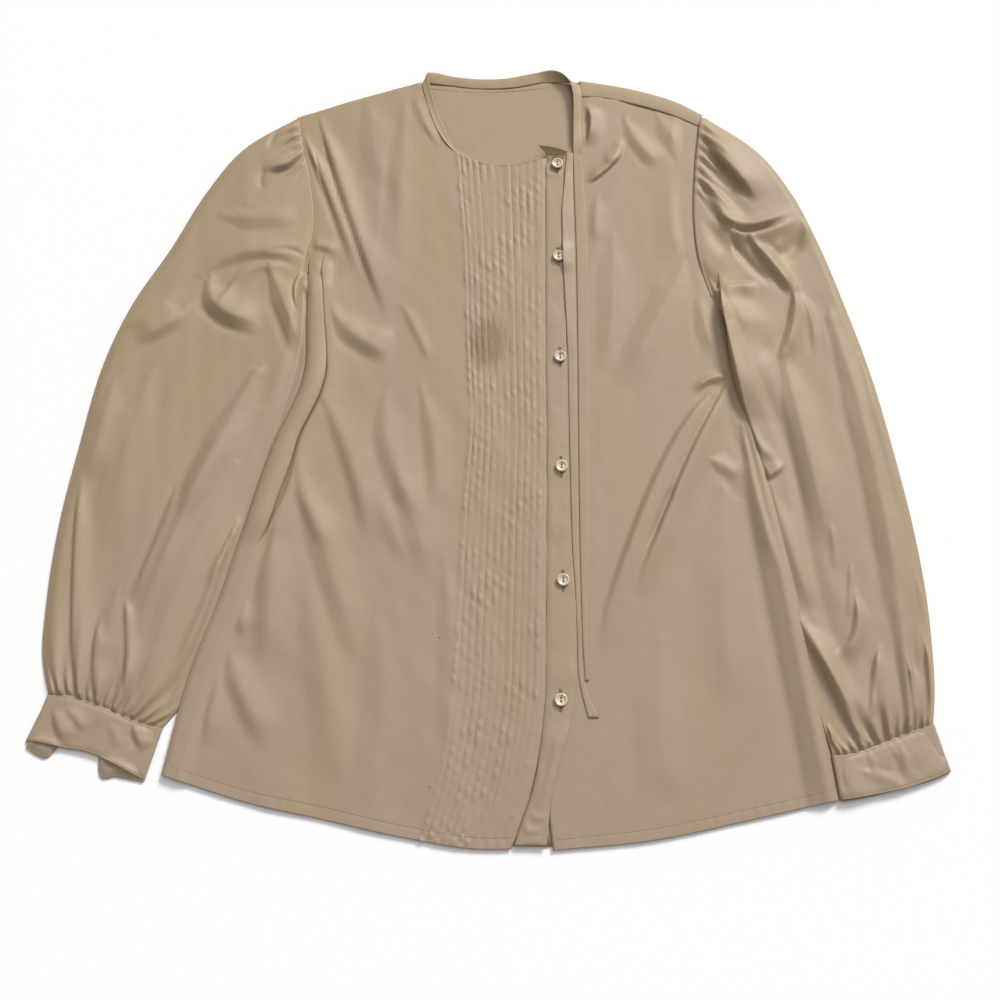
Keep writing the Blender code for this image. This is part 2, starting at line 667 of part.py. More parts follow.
def make_cuff(name, material, rows, lifted):
    """A flattened band: upper and lower layers, with the lower hem showing past the upper."""
    across = np.linspace(0, 1, 9)
    part = smooth_columns(rows, rows["share"], across)
    down = np.linspace(0, 1, 4)[:, None, None]
    seam = np.column_stack([part["seam_x"], part["seam_y"]])
    upper = seam + down * (np.column_stack([part["upper_x"], part["upper_y"]]) - seam)
    under = seam + down * (np.column_stack([part["under_x"], part["under_y"]]) - seam)
    ease = np.sin(math.pi * across) ** 0.5
    lift = np.zeros(len(across))
    if lifted:
        lift = OVER_Z * ramp(across, 0.62, 0.85)
    rim = np.ones(len(across))
    rim[0] = rim[-1] = 0
    low = np.tile(lift, (4, 1))
    high = low + FRONT_Z + CLOTH + 1.6 * ease
    inward = (seam[-1] - seam[0]) / np.linalg.norm(seam[-1] - seam[0])
    step = np.zeros((len(across), 1))
    step[0], step[-1] = CLOTH, -CLOTH
    wall = Wall()
    upper_low = low + 0.4 * (1 - rim)
    upper_high = high - 0.4 * (1 - rim)
    wall.add(raised(upper, upper_high), raised(upper + step * inward, high - CLOTH))
    wall.add(raised(under, upper_low), raised(under + step * inward, low + CLOTH))
    for edge in (0, -1):
        outer_pair = (raised(under, upper_low)[:, edge], raised(upper, upper_high)[:, edge])
        moved_under, moved_upper = under + step * inward, upper + step * inward
        inner_pair = (
            raised(moved_under, low + CLOTH)[:, edge],
            raised(moved_upper, high - CLOTH)[:, edge],
        )
        wall.add(np.array(outer_pair), np.array(inner_pair))
    return wall.finish(name, material)


def make_strip(name, material, rows, left_z=None):
    """A narrow flat strip from a table of its edges."""
    left = np.column_stack([rows["left"], rows["y"]])
    right = np.column_stack([rows["right"], rows["y"]])
    xy = np.stack([left, right], axis=1)
    if left_z is None:
        under = np.column_stack([rows["left_z"], rows["right_z"]])
    else:
        under = np.full(xy.shape[:2], left_z)
    return plain_wall(name, material, xy, under)


def make_neck_band(material):
    """The band round the neck, its wall square to its own leaning surface."""
    stations = np.arange(len(NECK_BAND["seam_x"]), dtype=float)
    fine = smooth_columns(NECK_BAND, stations, np.linspace(0, stations[-1], 3 * len(stations) - 2))
    seam = np.column_stack([fine[f"seam_{axis}"] for axis in "xyz"])
    free = np.column_stack([fine[f"free_{axis}"] for axis in "xyz"])
    along = np.gradient((seam + free) / 2, axis=0)
    normal = np.cross(free - seam, along)
    normal *= CLOTH / 2 / np.linalg.norm(normal, axis=1)[:, None]
    wall = Wall()
    wall.add(np.stack([seam, free]) - normal, np.stack([seam, free]) + normal)
    return wall.finish("neck_band", material)


def make_button(name, material, x, y, z):
    """A turned disc with a raised rim, a dished middle and two sewing holes."""
    mesh = bmesh.new()
    half_rim = BUTTON_R - BUTTON_RIM
    profile = (
        (0.0, 0.0),
        (BUTTON_R - 1.0, 0.0),
        (BUTTON_R, 0.9),
        (BUTTON_R - 0.2, BUTTON_THICK - 0.3),
        (BUTTON_R - 0.6, BUTTON_THICK),
        (half_rim, BUTTON_THICK - 0.2),
        (half_rim - 1.0, BUTTON_THICK - BUTTON_DISH),
        (0.0, BUTTON_THICK - BUTTON_DISH),
    )
    verts = [mesh.verts.new((r * MM, 0, h * MM)) for r, h in profile]
    edges = [mesh.edges.new(pair) for pair in zip(verts, verts[1:])]
    bmesh.ops.spin(
        mesh,
        geom=verts + edges,
        cent=(0, 0, 0),
        axis=(0, 0, 1),
        angle=math.tau,
        steps=16,
        use_merge=True,
    )
    bmesh.ops.remove_doubles(mesh, verts=mesh.verts, dist=1e-6)
    bmesh.ops.recalc_face_normals(mesh, faces=mesh.faces)
    data = bpy.data.meshes.new(name)
    mesh.to_mesh(data)
    mesh.free()
    button = bpy.data.objects.new(name, data)
    data.materials.append(material)
    data.shade_smooth()
    data.set_sharp_from_angle(angle=math.radians(30))
    bpy.context.scene.collection.objects.link(button)
    button.location = (x * MM, y * MM, z * MM)
    for side in (-1, 1):
        hole = bmesh.new()
        bmesh.ops.create_cone(
            hole,
            cap_ends=True,
            segments=8,
            radius1=BUTTON_HOLE_R * MM,
            radius2=BUTTON_HOLE_R * MM,
            depth=4 * BUTTON_THICK * MM,
        )
        hole_data = bpy.data.meshes.new(f"{name}_hole")
        hole.to_mesh(hole_data)
        hole.free()
        cutter = bpy.data.objects.new(f"{name}_hole", hole_data)
        cutter.location = (x * MM, (y + side * BUTTON_HOLE_APART / 2) * MM, z * MM)
        cutter.hide_render = True
        cutter.display_type = "WIRE"
        bpy.context.scene.collection.objects.link(cutter)
        cut = button.modifiers.new("sewing hole", "BOOLEAN")
        cut.operation = "DIFFERENCE"
        cut.object = cutter
    return button


def main():
    for old in list(bpy.data.objects):
        bpy.data.objects.remove(old)
    satin = finish_of("champagne satin", (0.45, 0.34, 0.22), 0.45)
    band_satin = finish_of("champagne satin, doubled", (0.42, 0.31, 0.20), 0.5)
    pearl = finish_of("pearl button", (0.72, 0.66, 0.55), 0.2)
    make_back(satin)
    make_front_right(satin)
    make_front_left(satin)
    make_sleeve("sleeve_right", satin, RIGHT_SLEEVE, RIGHT_ARMHOLE, RIGHT_CUFF, RIGHT_SLEEVE_FOLDS, False)
    make_sleeve("sleeve_left", satin, LEFT_SLEEVE, LEFT_ARMHOLE, LEFT_CUFF, LEFT_SLEEVE_FOLDS, True)
    make_cuff("cuff_right", band_satin, RIGHT_CUFF, False)
    make_cuff("cuff_left", band_satin, LEFT_CUFF, True)
    make_strip("front_band", band_satin, BAND, OVER_Z)
    make_strip("tie_right", band_satin, LONG_TIE)
    make_strip("tie_left", band_satin, SHORT_TIE)
    make_neck_band(band_satin)
    on_band = OVER_Z + CLOTH + GAP
    for i, (x, y) in enumerate(zip(BUTTONS["x"], BUTTONS["y"])):
        make_button(f"button_{i + 1}", pearl, x, y, on_band)


main()
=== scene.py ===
"""The looks of a satin blouse laid flat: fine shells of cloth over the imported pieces.

The wearer's right side is at -X and the neck is towards +Y. Tables are in millimetres,
each column has a name, and a line of a panel runs from the hem to the shoulder or from
the wearer's right to the left.
"""

import math
from types import SimpleNamespace

import bmesh
import bpy
import numpy as np
from bpy.props import FloatProperty, FloatVectorProperty, IntProperty, PointerProperty
from mathutils import Matrix, Vector


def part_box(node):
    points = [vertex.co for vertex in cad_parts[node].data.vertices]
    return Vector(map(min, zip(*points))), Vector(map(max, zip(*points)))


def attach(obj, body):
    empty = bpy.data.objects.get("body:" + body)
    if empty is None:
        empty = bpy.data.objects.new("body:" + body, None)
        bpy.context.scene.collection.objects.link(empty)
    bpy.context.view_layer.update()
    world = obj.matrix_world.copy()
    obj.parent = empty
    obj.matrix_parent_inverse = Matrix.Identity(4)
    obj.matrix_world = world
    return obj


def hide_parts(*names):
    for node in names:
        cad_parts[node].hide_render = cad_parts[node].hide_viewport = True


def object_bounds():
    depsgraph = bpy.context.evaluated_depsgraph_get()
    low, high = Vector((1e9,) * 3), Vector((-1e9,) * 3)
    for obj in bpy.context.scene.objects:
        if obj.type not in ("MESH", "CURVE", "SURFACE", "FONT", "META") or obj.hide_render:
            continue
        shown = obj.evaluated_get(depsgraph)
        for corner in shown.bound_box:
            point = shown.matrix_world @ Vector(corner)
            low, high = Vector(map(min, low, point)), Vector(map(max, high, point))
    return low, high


bl_info = {
    "name": "Satin Blouse",
    "version": (1, 0, 0),
    "blender": (4, 5, 0),
    "location": "View3D > Sidebar > Blouse",
    "description": "Dresses the packed solids of a satin blouse that lies flat",
    "category": "Object",
}

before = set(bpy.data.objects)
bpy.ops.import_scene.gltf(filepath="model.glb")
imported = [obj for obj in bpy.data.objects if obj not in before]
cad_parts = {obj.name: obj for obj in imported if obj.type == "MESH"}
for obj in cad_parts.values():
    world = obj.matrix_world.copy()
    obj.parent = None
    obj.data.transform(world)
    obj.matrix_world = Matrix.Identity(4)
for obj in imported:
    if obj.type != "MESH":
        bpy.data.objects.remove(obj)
CAD_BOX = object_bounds()

MM = 0.001

# Layers, as the solids have them, in millimetres above the surface.
CLOTH = 1.0
GAP = 0.3
LAYER_CLEAR = 1.5
FRONT_TOP = 2 * CLOTH + GAP
OVER_Z = FRONT_TOP + GAP
OVERLAP = 11.0  # of the body's right margin over the sleeve
SLOPE = 14.0  # over which a layer comes down from another's edge
UNCOVERED = (118, 146)  # up the body, where its right margin comes off the sleeve
TUCK_SHARE = 0.738  # share of the right front's width where the first tuck is
FOOT = 0.12  # depth of the groove at the foot of a steep crease, as a share of its height
STRAY = 0.012  # how far a piece may stand proud of its solid's box, in metres
# Widths and lengths that turn places in millimetres into shares.
FRONT_WIDTH, FRONT_LENGTH, LEFT_WIDTH, LEFT_LENGTH = 260, 600, 215, 610
SLEEVE_WIDTH, SLEEVE_LENGTH, CUFF_WIDTH, CUFF_DEPTH = 150, 560, 105, 36


def table(columns, *rows):
    """Rows of numbers under named columns."""
    names = columns.split()
    return {name: np.array([row[i] for row in rows], float) for i, name in enumerate(names)}


EDGE = "share x y corner"
RIGHT_SIDE = table(
    EDGE,
    (0, -252, -294, 0), (0.14, -235, -210, 0), (0.24, -216, -151, 0), (0.34, -201, -94, 0),
    (0.455, -182, -24, 0), (0.57, -158, 44, 0), (0.66, -158, 98, 0), (0.745, -159, 148, 1),
    (0.82, -158, 193, 0), (0.886, -163, 232, 0), (0.95, -171, 269, 0), (1, -177, 300, 0),
)
LEFT_SIDE = table(
    EDGE,
    (0, 275, -312, 0), (0.138, 265, -229, 0), (0.3, 254, -130, 0), (0.48, 233, -21, 0),
    (0.64, 215, 76, 0), (0.7, 206, 112, 0), (0.76, 192, 150, 0), (0.83, 187, 190, 0),
    (0.93, 190, 251, 0), (1, 194, 291, 0),
)
RIGHT_HEM = table(
    EDGE,
    (0, -252, -294, 0), (0.27, -179, -316, 0), (0.45, -131, -326, 0), (0.69, -66, -340, 0),
    (0.9, -7, -349, 0), (1, 19, -349, 0),
)
LEFT_HEM = table(
    EDGE,
    (0, 51, -350, 0), (0.33, 125, -343, 0), (0.71, 210, -326, 0), (1, 275, -312, 0),
)
BACK_HEM = table(
    EDGE,
    (0, -251, -292, 0), (0.24, -131, -323, 0), (0.48, -7, -345, 0), (0.6, 59, -347, 0),
    (0.86, 210, -323, 0), (1, 274, -309, 0),
)
RIGHT_TOP = table(
    EDGE,
    (0, -177, 300, 0), (0.25, -121, 320, 0), (0.47, -63, 339, 1), (0.53, -57, 317, 0),
    (0.6, -48, 289, 0), (0.738, -31, 264, 0), (0.8, -15, 256, 0), (0.9, 20, 251, 0),
    (1, 54, 259, 0),
)
LEFT_TOP = table(
    EDGE,
    (0, 59, 259, 0), (0.07, 74, 267, 0), (0.14, 82, 296, 0), (0.2, 82, 323, 1), (0.34, 104, 322, 0),
    (0.6, 135, 315, 0), (0.8, 160, 307, 0), (1, 194, 291, 0),
)
BACK_TOP = table(
    EDGE,
    (0, -176.6, 300, 0), (0.14, -121, 320, 0), (0.3, -63, 339, 1), (0.36, -40, 338, 0),
    (0.44, -12, 335, 0), (0.54, 25, 336, 0), (0.61, 52, 341, 0), (0.68, 84, 339, 1),
    (0.74, 104, 336, 0), (0.85, 147, 326, 0), (0.93, 176, 315, 0), (1, 197, 302, 0),
)
SHOULDER_SEAM = table(
    EDGE,
    (0, 82, 325, 0), (0.2, 104, 324, 0), (0.4, 135, 317, 0), (0.6, 160, 309, 0), (0.8, 178, 301, 0),
    (1, 194, 293, 0),
)
BUTTONHOLE_EDGE = table(
    EDGE,
    (0, 19, -349, 0), (0.06, 33, -311, 0), (0.17, 46, -245, 0), (0.29, 49, -171, 0),
    (0.52, 52, -34, 0), (0.84, 53, 157, 0), (1, 54, 259, 0),
)
BUTTON_EDGE = table(
    EDGE,
    (0, 51, -350, 0), (0.05, 48, -321, 0), (0.13, 54, -271, 0), (0.21, 58, -220, 0),
    (0.43, 57, -87, 0), (0.74, 55, 100, 0), (1, 59, 259, 0),
)

# Sleeves: from the outer to the inner edge, at a share of the length.
SLEEVE_COLUMNS = "share outer_x outer_y inner_x inner_y crown"
RIGHT_SLEEVE = table(
    SLEEVE_COLUMNS,
    (0, -177, 300, -161, 148, 1.2), (0.08, -220, 271, -158, 126, 3),
    (0.19, -255, 222, -156, 88, 3.2), (0.3, -283, 164, -156, 44, 3),
    (0.41, -313, 108, -168, -4, 2.8), (0.52, -333, 48, -183, -60, 2.6),
    (0.63, -345, -24, -198, -114, 2.6), (0.74, -354, -90, -210, -160, 2.8),
    (0.85, -357, -155, -224, -202, 3), (0.93, -355, -198, -238, -236, 3),
    (1, -346, -231, -254, -257, 0.8),
)
LEFT_SLEEVE = table(
    SLEEVE_COLUMNS,
    (0, 198, 302, 199, 115, 1.2), (0.08, 240, 270, 207, 90, 3.4), (0.19, 272, 225, 208, 64, 3.6),
    (0.3, 295, 168, 212, 30, 3.2), (0.41, 315, 100, 224, -15, 2.8), (0.52, 331, 36, 236, -70, 2.6),
    (0.63, 344, -38, 239, -126, 2.6), (0.74, 353, -104, 246, -178, 2.8),
    (0.85, 357, -171, 255, -218, 3.2), (0.93, 355, -222, 262, -248, 3.2),
    (1, 350, -254, 269, -278, 0.8),
)
RIGHT_ARMHOLE = table(
    EDGE,
    (0, -177, 300, 0), (0.2, -171, 269, 0), (0.45, -163, 232, 0), (0.71, -158, 193, 0),
    (1, -161, 148, 0),
)
LEFT_ARMHOLE = table(
    EDGE,
    (0, 198, 302, 0), (0.27, 191, 251, 0), (0.58, 187, 190, 0), (0.8, 190, 150, 0),
    (1, 199, 115, 0),
)
# Cuffs: the seam to the sleeve and the upper layer's hem, across from the outer edge,
# and the under layer's own hem, which shows past the upper one where the cuff gapes.
CUFF_COLUMNS = "share seam_x seam_y upper_x upper_y under_x under_y"
RIGHT_CUFF = table(
    CUFF_COLUMNS,
    (0, -347, -232, -361, -268, -360, -273), (0.1, -339, -232, -351, -269, -350, -279),
    (0.2, -330, -232, -340, -271, -342, -280), (0.3, -320, -235, -331, -273, -333, -270),
    (0.45, -305, -240, -317, -275, -316, -271), (0.62, -289, -247, -301, -280, -303, -277),
    (0.68, -283, -249, -295, -283, -301, -292), (0.82, -271, -254, -281, -290, -287, -295),
    (1, -255, -258, -265, -298, -266, -299),
)
LEFT_CUFF = table(
    CUFF_COLUMNS,
    (0, 351, -255, 361, -291, 360, -292), (0.2, 336, -259, 346, -297, 345, -298),
    (0.45, 312, -268, 323, -304, 322, -304), (0.7, 290, -276, 298, -309, 297, -310),
    (0.88, 276, -279, 280, -312, 280, -313), (1, 269, -279, 273, -313, 273, -314),
)
BAND = table(
    "y left right",
    (-347, 21, 46), (-328, 28, 48), (-305, 36, 51), (-280, 41, 58), (-250, 45, 67), (-171, 48, 72),
    (-104, 49, 69), (-34, 50, 68), (59, 50, 68), (157, 51, 68), (250, 52, 68),
)
TIE_COLUMNS = "y left right left_z right_z"
LONG_TIE = table(
    TIE_COLUMNS,
    (262, 71.6, 77.6, 3, 2.8), (252, 70.4, 77, 3.2, 2.9), (234, 69, 76.8, 3.8, 2.7),
    (205, 66, 77, 4, 2.7), (172, 66, 77.4, 4, 2.7), (163, 66, 77.6, 6.9, 2.9),
    (149, 66.2, 77.6, 6.9, 2.9), (139, 66.5, 77.6, 4, 2.7), (100, 68, 77.2, 4, 2.7),
    (60, 69.2, 77, 2.6, 2.6), (-10, 69.2, 76.5, 2.6, 2.6), (-74, 69.5, 75.8, 2.6, 2.6),
    (-113, 70, 75.4, 2.6, 2.6), (-140, 71.5, 75.2, 2.6, 2.6), (-187, 72.6, 75.4, 2.6, 2.6),
    (-214, 72.6, 76.2, 2.6, 2.6), (-222, 73.6, 77.4, 2.6, 2.6), (-236, 76.4, 82, 2.6, 2.6),
    (-250, 80, 88.5, 2.6, 2.6),
)
SHORT_TIE = table(
    TIE_COLUMNS,
    (267, 77.3, 86.3, 2.6, 2.6), (232, 77.4, 87, 2.6, 2.6), (200, 77.8, 88, 2.6, 2.6),
    (156, 78.4, 89, 2.6, 2.6), (60, 77.8, 88.6, 2.6, 2.6), (-42, 76.6, 85.4, 2.6, 2.6),
    (-104, 76.2, 84.6, 2.6, 2.6), (-150, 76.4, 81.8, 2.6, 2.6), (-190, 76.8, 81, 2.6, 2.6),
    (-221, 78.2, 81, 2.6, 2.6),
)
NECK_BAND = table(
    "seam_x seam_y seam_z free_x free_y free_z",
    (69, 258.4, 3.6, 72, 262, 6), (64, 259.2, 3.6, 65.5, 263.6, 7.6),
    (60, 259.2, 3.5, 58.6, 265.6, 8), (57, 259.6, 3.4, 52, 267, 7.4),
    (55, 259.6, 3.2, 46, 267.6, 6.4), (53.6, 259, 3, 52.4, 262, 3.4),
    (49, 257.6, 2.8, 48.6, 260, 2.4), (38, 254.6, 2.5, 37.4, 257, 1.8),
    (20, 250.6, 2, 20, 252, 1.5), (0, 250.8, 2, 0.6, 252.4, 1.5),
    (-15, 255.8, 2, -14.4, 257.6, 1.5), (-30.4, 263.8, 2.4, -28.4, 266.2, 1.7),
    (-41, 275.8, 2.4, -36.4, 278.2, 1.7), (-48, 288.6, 2.4, -41, 290.6, 1.9),
    (-53.6, 303, 2.4, -46.6, 304, 2.3), (-57.8, 318, 2.4, -51, 318, 2.9),
    (-61.4, 332, 2.5, -55, 336, 3.9), (-61.8, 337.6, 2.3, -57.6, 346.4, 4.6),
    (-57.6, 338, 1.5, -54, 348.6, 3.4), (-50, 337, 1.2, -47, 348.2, 2.2),
    (-36, 335.4, 1.15, -34, 345.2, 1.8), (-12, 332.2, 1.15, -11, 342.4, 1.7),
    (14, 332.4, 1.15, 14, 342.8, 1.7), (34, 335.2, 1.15, 32, 346.2, 1.8),
    (50, 338.6, 1.2, 45.5, 349, 2.6), (64, 338.4, 1.4, 58.5, 349, 6.4),
    (76, 338, 1.8, 68, 344, 8.8), (84.6, 335, 2.8, 75, 335, 9.4), (86.4, 327, 4, 77.4, 325.5, 9.2),
    (86.6, 318, 3.9, 78.2, 316, 8.8), (86.6, 306, 3.6, 78.2, 304, 8),
    (86.4, 292, 3.4, 77.8, 290, 7), (86.2, 270, 3.6, 77.2, 270, 4.6),
    (86.4, 257, 2.6, 77.4, 257, 2.8),
)

# Creases, each from its start by its middle to its end. Left and right are its widths
# as seen walking along it, and lean is how far its crest leans over to the right. The
# narrower side is a flat facet with crisp edges, the wider one fades softly, and a crease
# as wide on both sides is a round swell or, with a negative height, a groove.
FOLD_COLUMNS = "x0 y0 xm ym x1 y1 left right height lean"
FRONT_RIGHT_FOLDS = table(
    FOLD_COLUMNS,
    (-155, 294, -121, 192, -84, 86, 12, 2.8, 3.2, 0.8),
    (-168, 276, -139, 208, -112, 132, 8, 4, 2.4, 0.6),
    (-158, 262, -142, 204, -122, 148, 3, 3, -1, 0), (-136, 102, -112, 77, -80, 60, 13, 8, 3.4, 0.6),
    (-104, 86, -92, 80, -80, 79, 6, 6, 1, 0), (-76, 110, -63, 83, -50, 54, 6, 1.8, 1.1, 0.3),
    (-160, 168, -147, 166, -134, 160, 6, 3.2, 1.6, 0.4),
    (-147, 150, -134, 148, -145, 118, 6, 6, -1.6, 0),
    (-140, 20, -113, -42, -96, -112, 16, 6, 2.4, 0.6),
    (-158, -44, -145, -82, -128, -116, 14, 6, 2, 0.6), (-88, 24, -80, -36, -46, -96, 16, 8, 2, 0.4),
    (-76, -44, -62, -86, -42, -140, 14, 8, 1.4, 0.3),
    (-58, 34, -45, -28, -44, -84, 10, 6.5, 1.5, 0.3),
    (-156, -64, -130, -124, -96, -220, 17, 9, 2, 0.3),
    (-88, -70, -78, -96, -64, -124, 12, 7, 1, 0.3), (-78, 316, -82, 210, -88, 96, 12, 8, 1.3, 0),
    (-96, 250, -96, 180, -94, 120, 8, 10, 1.1, 0), (-70, 326, -60, 296, -42, 268, 6, 3, 1, 0.3),
    (-114, 318, -104, 268, -104, 226, 13, 10, 1.1, 0.3),
    (-215, -138, -206, -162, -192, -186, 12, 4.4, 2.8, 0.8),
    (-206, -198, -193, -232, -168, -276, 15, 7, 2.5, 0.4),
    (-176, -96, -178, -150, -177, -220, 16, 8, 2.6, 0.4),
    (-220, -200, -219, -235, -219, -276, 12, 6, 2, 0.3),
    (-148, -150, -128, -230, -122, -312, 20, 12, 1.5, 0),
    (-90, -160, -84, -240, -92, -320, 16, 12, 1.3, 0),
    (-36, -120, -30, -200, -34, -300, 9, 7, 1, 0),
)
FRONT_LEFT_FOLDS = table(
    FOLD_COLUMNS,
    (84, 229, 104, 244, 126, 268, 7, 2.6, 2.8, 1.6),
    (88.5, 306, 90, 294, 88, 278, 1.8, 1.8, -2.6, 0), (91, 310, 95, 294, 90, 268, 8, 2.2, 3.6, 1.4),
    (104, 252, 116, 262, 124, 282, 6, 4, 1.6, 0.4), (126, 298, 139, 270, 158, 248, 10, 6.5, 2, 0.4),
    (156, 302, 170, 276, 188, 248, 11, 8, 1.4, 0.3), (98, 216, 94, 192, 92, 168, 9, 7, 1.2, 0.3),
    (174, 148, 148, 98, 112, 24, 16, 12, 2.4, 0.4),
    (192, 26, 140, -58, 80, -220, 16, 4.4, 2.8, 1.2),
    (206, 34, 162, -56, 118, -160, 13, 3.2, 3.4, 1.6),
    (158, -56, 147, -82, 132, -116, 3.2, 3.2, -1.6, 0), (206, 40, 190, 38, 176, 25, 4, 4, 2.4, 0),
    (198, 33, 186, 30, 178, 16, 3, 3, -1.6, 0), (188, -36, 199, -42, 212, -52, 7, 5, 1.6, 0),
    (198, -54, 205, -60, 214, -72, 4, 4, -1.2, 0), (206, 2, 211, -20, 219, -46, 4, 4, -1.2, 0),
    (216, -4, 225, -74, 239, -136, 3, 8, 2.4, -0.4),
    (218, 24, 245, -180, 274, -400, 16, 12, 4.6, 0.6),
    (196, -60, 190, -160, 196, -250, 20, 16, 1.4, 0),
    (140, -190, 136, -260, 140, -320, 18, 16, 1.3, 0), (110, 176, 108, 110, 98, 40, 14, 12, 1.4, 0),
    (180, 246, 168, 200, 174, 146, 16, 15, 1.2, 0), (196, 128, 189, 96, 198, 54, 9, 7, 1.5, 0),
)
RIGHT_SLEEVE_FOLDS = table(
    FOLD_COLUMNS,
    (-181, 296, -195, 284, -201, 262, 2.2, 2.2, -1.8, 0),
    (-170, 268, -180, 250, -208, 244, 3, 10, 3.8, -1.4),
    (-204, 246, -206, 234, -204, 222, 3, 3, -1, 0),
    (-238, 196, -204, 192, -168, 198, 12, 8, 1.8, 0),
    (-225, 204, -216, 203, -207, 205, 2.5, 2.5, -0.7, 0),
    (-196, 157, -178, 162, -160, 154, 1.8, 1.8, -1.3, 0),
    (-252, 136, -210, 159, -160, 150, 14, 6, 2.6, 0.4),
    (-216, 142, -200, 149, -184, 150, 2, 2, -1, 0), (-234, 108, -206, 146, -166, 138, 3, 7, 2, 0.4),
    (-245, 130, -232, 103, -192, 88, 16, 8, 5, 0.6),
    (-192, 142, -173, 98, -158, 58, 14, 8, 3.6, 0.6),
    (-162, 138, -168, 122, -160, 92, 5, 2.2, 2.6, 0.6),
    (-163, 126, -160, 108, -158, 84, 4, 4, -2.6, 0),
    (-262, 101, -279, 88, -306, 71, 6, 14, 3, -0.4), (-318, 86, -292, 100, -262, 124, 6, 6, 1.2, 0),
    (-321, 32, -326, -10, -336, -58, 14, 7, 2.6, 0.4),
    (-339, -56, -334, -139, -325, -240, 9, 2.6, 2.5, 0.9),
    (-311, -170, -311, -206, -306, -246, 6, 2.8, 2, 0.5),
    (-300, -150, -304, -178, -312, -206, 10, 6.5, 1.6, 0.3),
    (-256, -52, -270, -104, -290, -164, 5, 3, 1.9, 0.4),
    (-198, 44, -243, -64, -286, -196, 16, 10, 4.8, 0.6),
    (-210, -40, -250, -146, -276, -244, 11, 8, 2, 0.4),
    (-206, -92, -226, -160, -256, -234, 8, 5, 2.6, 0.4),
    (-292, -156, -286, -188, -283, -250, 5, 2.8, 2, 0.5),
    (-203, -96, -211, -120, -216, -144, 4, 4, -2.6, 0),
    (-222, -190, -240, -220, -262, -254, 3, 3, -2, 0),
    (-238, -214, -247, -230, -256, -252, 2.4, 2.4, -1.8, 0),
    (-200, -78, -214, -112, -230, -148, 5, 3, 2.8, 0),
    (-168, 34, -176, -2, -184, -34, 7, 7, 1.6, 0), (-196, 10, -232, -40, -256, -88, 14, 9, 2, 0.4),
    (-290, 40, -304, -30, -314, -120, 16, 12, 2, 0),
)
LEFT_SLEEVE_FOLDS = table(
    FOLD_COLUMNS,
    (194, 284, 219, 247, 245, 208, 15, 4.2, 6.6, 2.6), (196, 268, 216, 240, 238, 212, 5, 5, -2, 0),
    (193, 262, 203, 246, 214, 238, 2, 2, -1.2, 0), (194, 240, 207, 206, 224, 178, 7, 5, 3.4, 0.6),
    (208, 196, 236, 186, 284, 204, 7, 3.4, 3, 0.6), (216, 184, 240, 176, 284, 200, 4, 7, 3.8, -0.4),
    (218, 182, 238, 181, 268, 193, 2.6, 2.6, -2, 0), (193, 190, 206, 172, 216, 156, 8, 8, -1.8, 0),
    (232, 172, 254, 142, 270, 116, 6, 5, 4.6, 1), (217, 171, 231, 149, 253, 125, 4, 4, -2.6, 0),
    (252, 164, 266, 160, 284, 186, 8, 8, -3, 0), (284, 198, 284, 180, 276, 158, 5, 5, 1.6, 0),
    (196, 118, 216, 124, 240, 124, 4, 9, 3.2, -0.4), (204, 124, 211, 64, 223, -10, 24, 4, 7.6, 2.6),
    (268, 122, 265, 88, 250, 52, 10, 4.5, 3.6, 0.6), (275, 118, 282, 90, 282, 56, 3, 3, 1.4, 0),
    (214, 90, 232, 70, 248, 60, 12, 12, -1.4, 0), (228, -52, 238, -48, 250, -38, 6, 2.6, 3, 0.4),
    (212, 10, 226, -20, 248, -40, 4, 4, 1.4, 0), (254, 60, 267, -22, 282, -124, 14, 9, 3.2, 0.4),
    (298, 96, 324, -50, 334, -216, 14, 10, 3, 0.4), (322, 60, 340, -20, 352, -100, 12, 8, 2.2, 0.4),
    (236, -60, 250, -120, 262, -168, 10, 6, 2.4, 0.4),
    (252, -174, 274, -216, 299, -270, 11, 6, 5.4, 2),
    (252, -186, 264, -226, 268, -276, 4.4, 4.4, -5, 0),
    (273, -246, 278, -264, 283, -280, 4.2, 4.2, -4, 0),
    (256, -222, 260, -247, 263, -272, 2, 2, 2, 0.4),
    (264, -236, 268, -256, 270, -277, 2, 2, 1.8, 0.4),
    (297, -150, 295, -184, 276, -203, 8, 3.4, 2.8, 0.6),
    (282, -92, 284, -112, 283, -134, 3, 3, 1, 0), (334, -206, 337, -232, 335, -258, 6, 2.4, 2.8, 1),
    (350, -190, 351, -220, 349, -254, 5, 2.6, 2.4, 0.6),
    (346, -128, 355, -186, 351, -240, 3, 3, 1.2, 0),
    (312, -196, 306, -226, 303, -252, 8, 3, 2.4, 0.6),
    (296, -124, 294, -150, 290, -174, 3, 2.6, 1, 0.2),
)

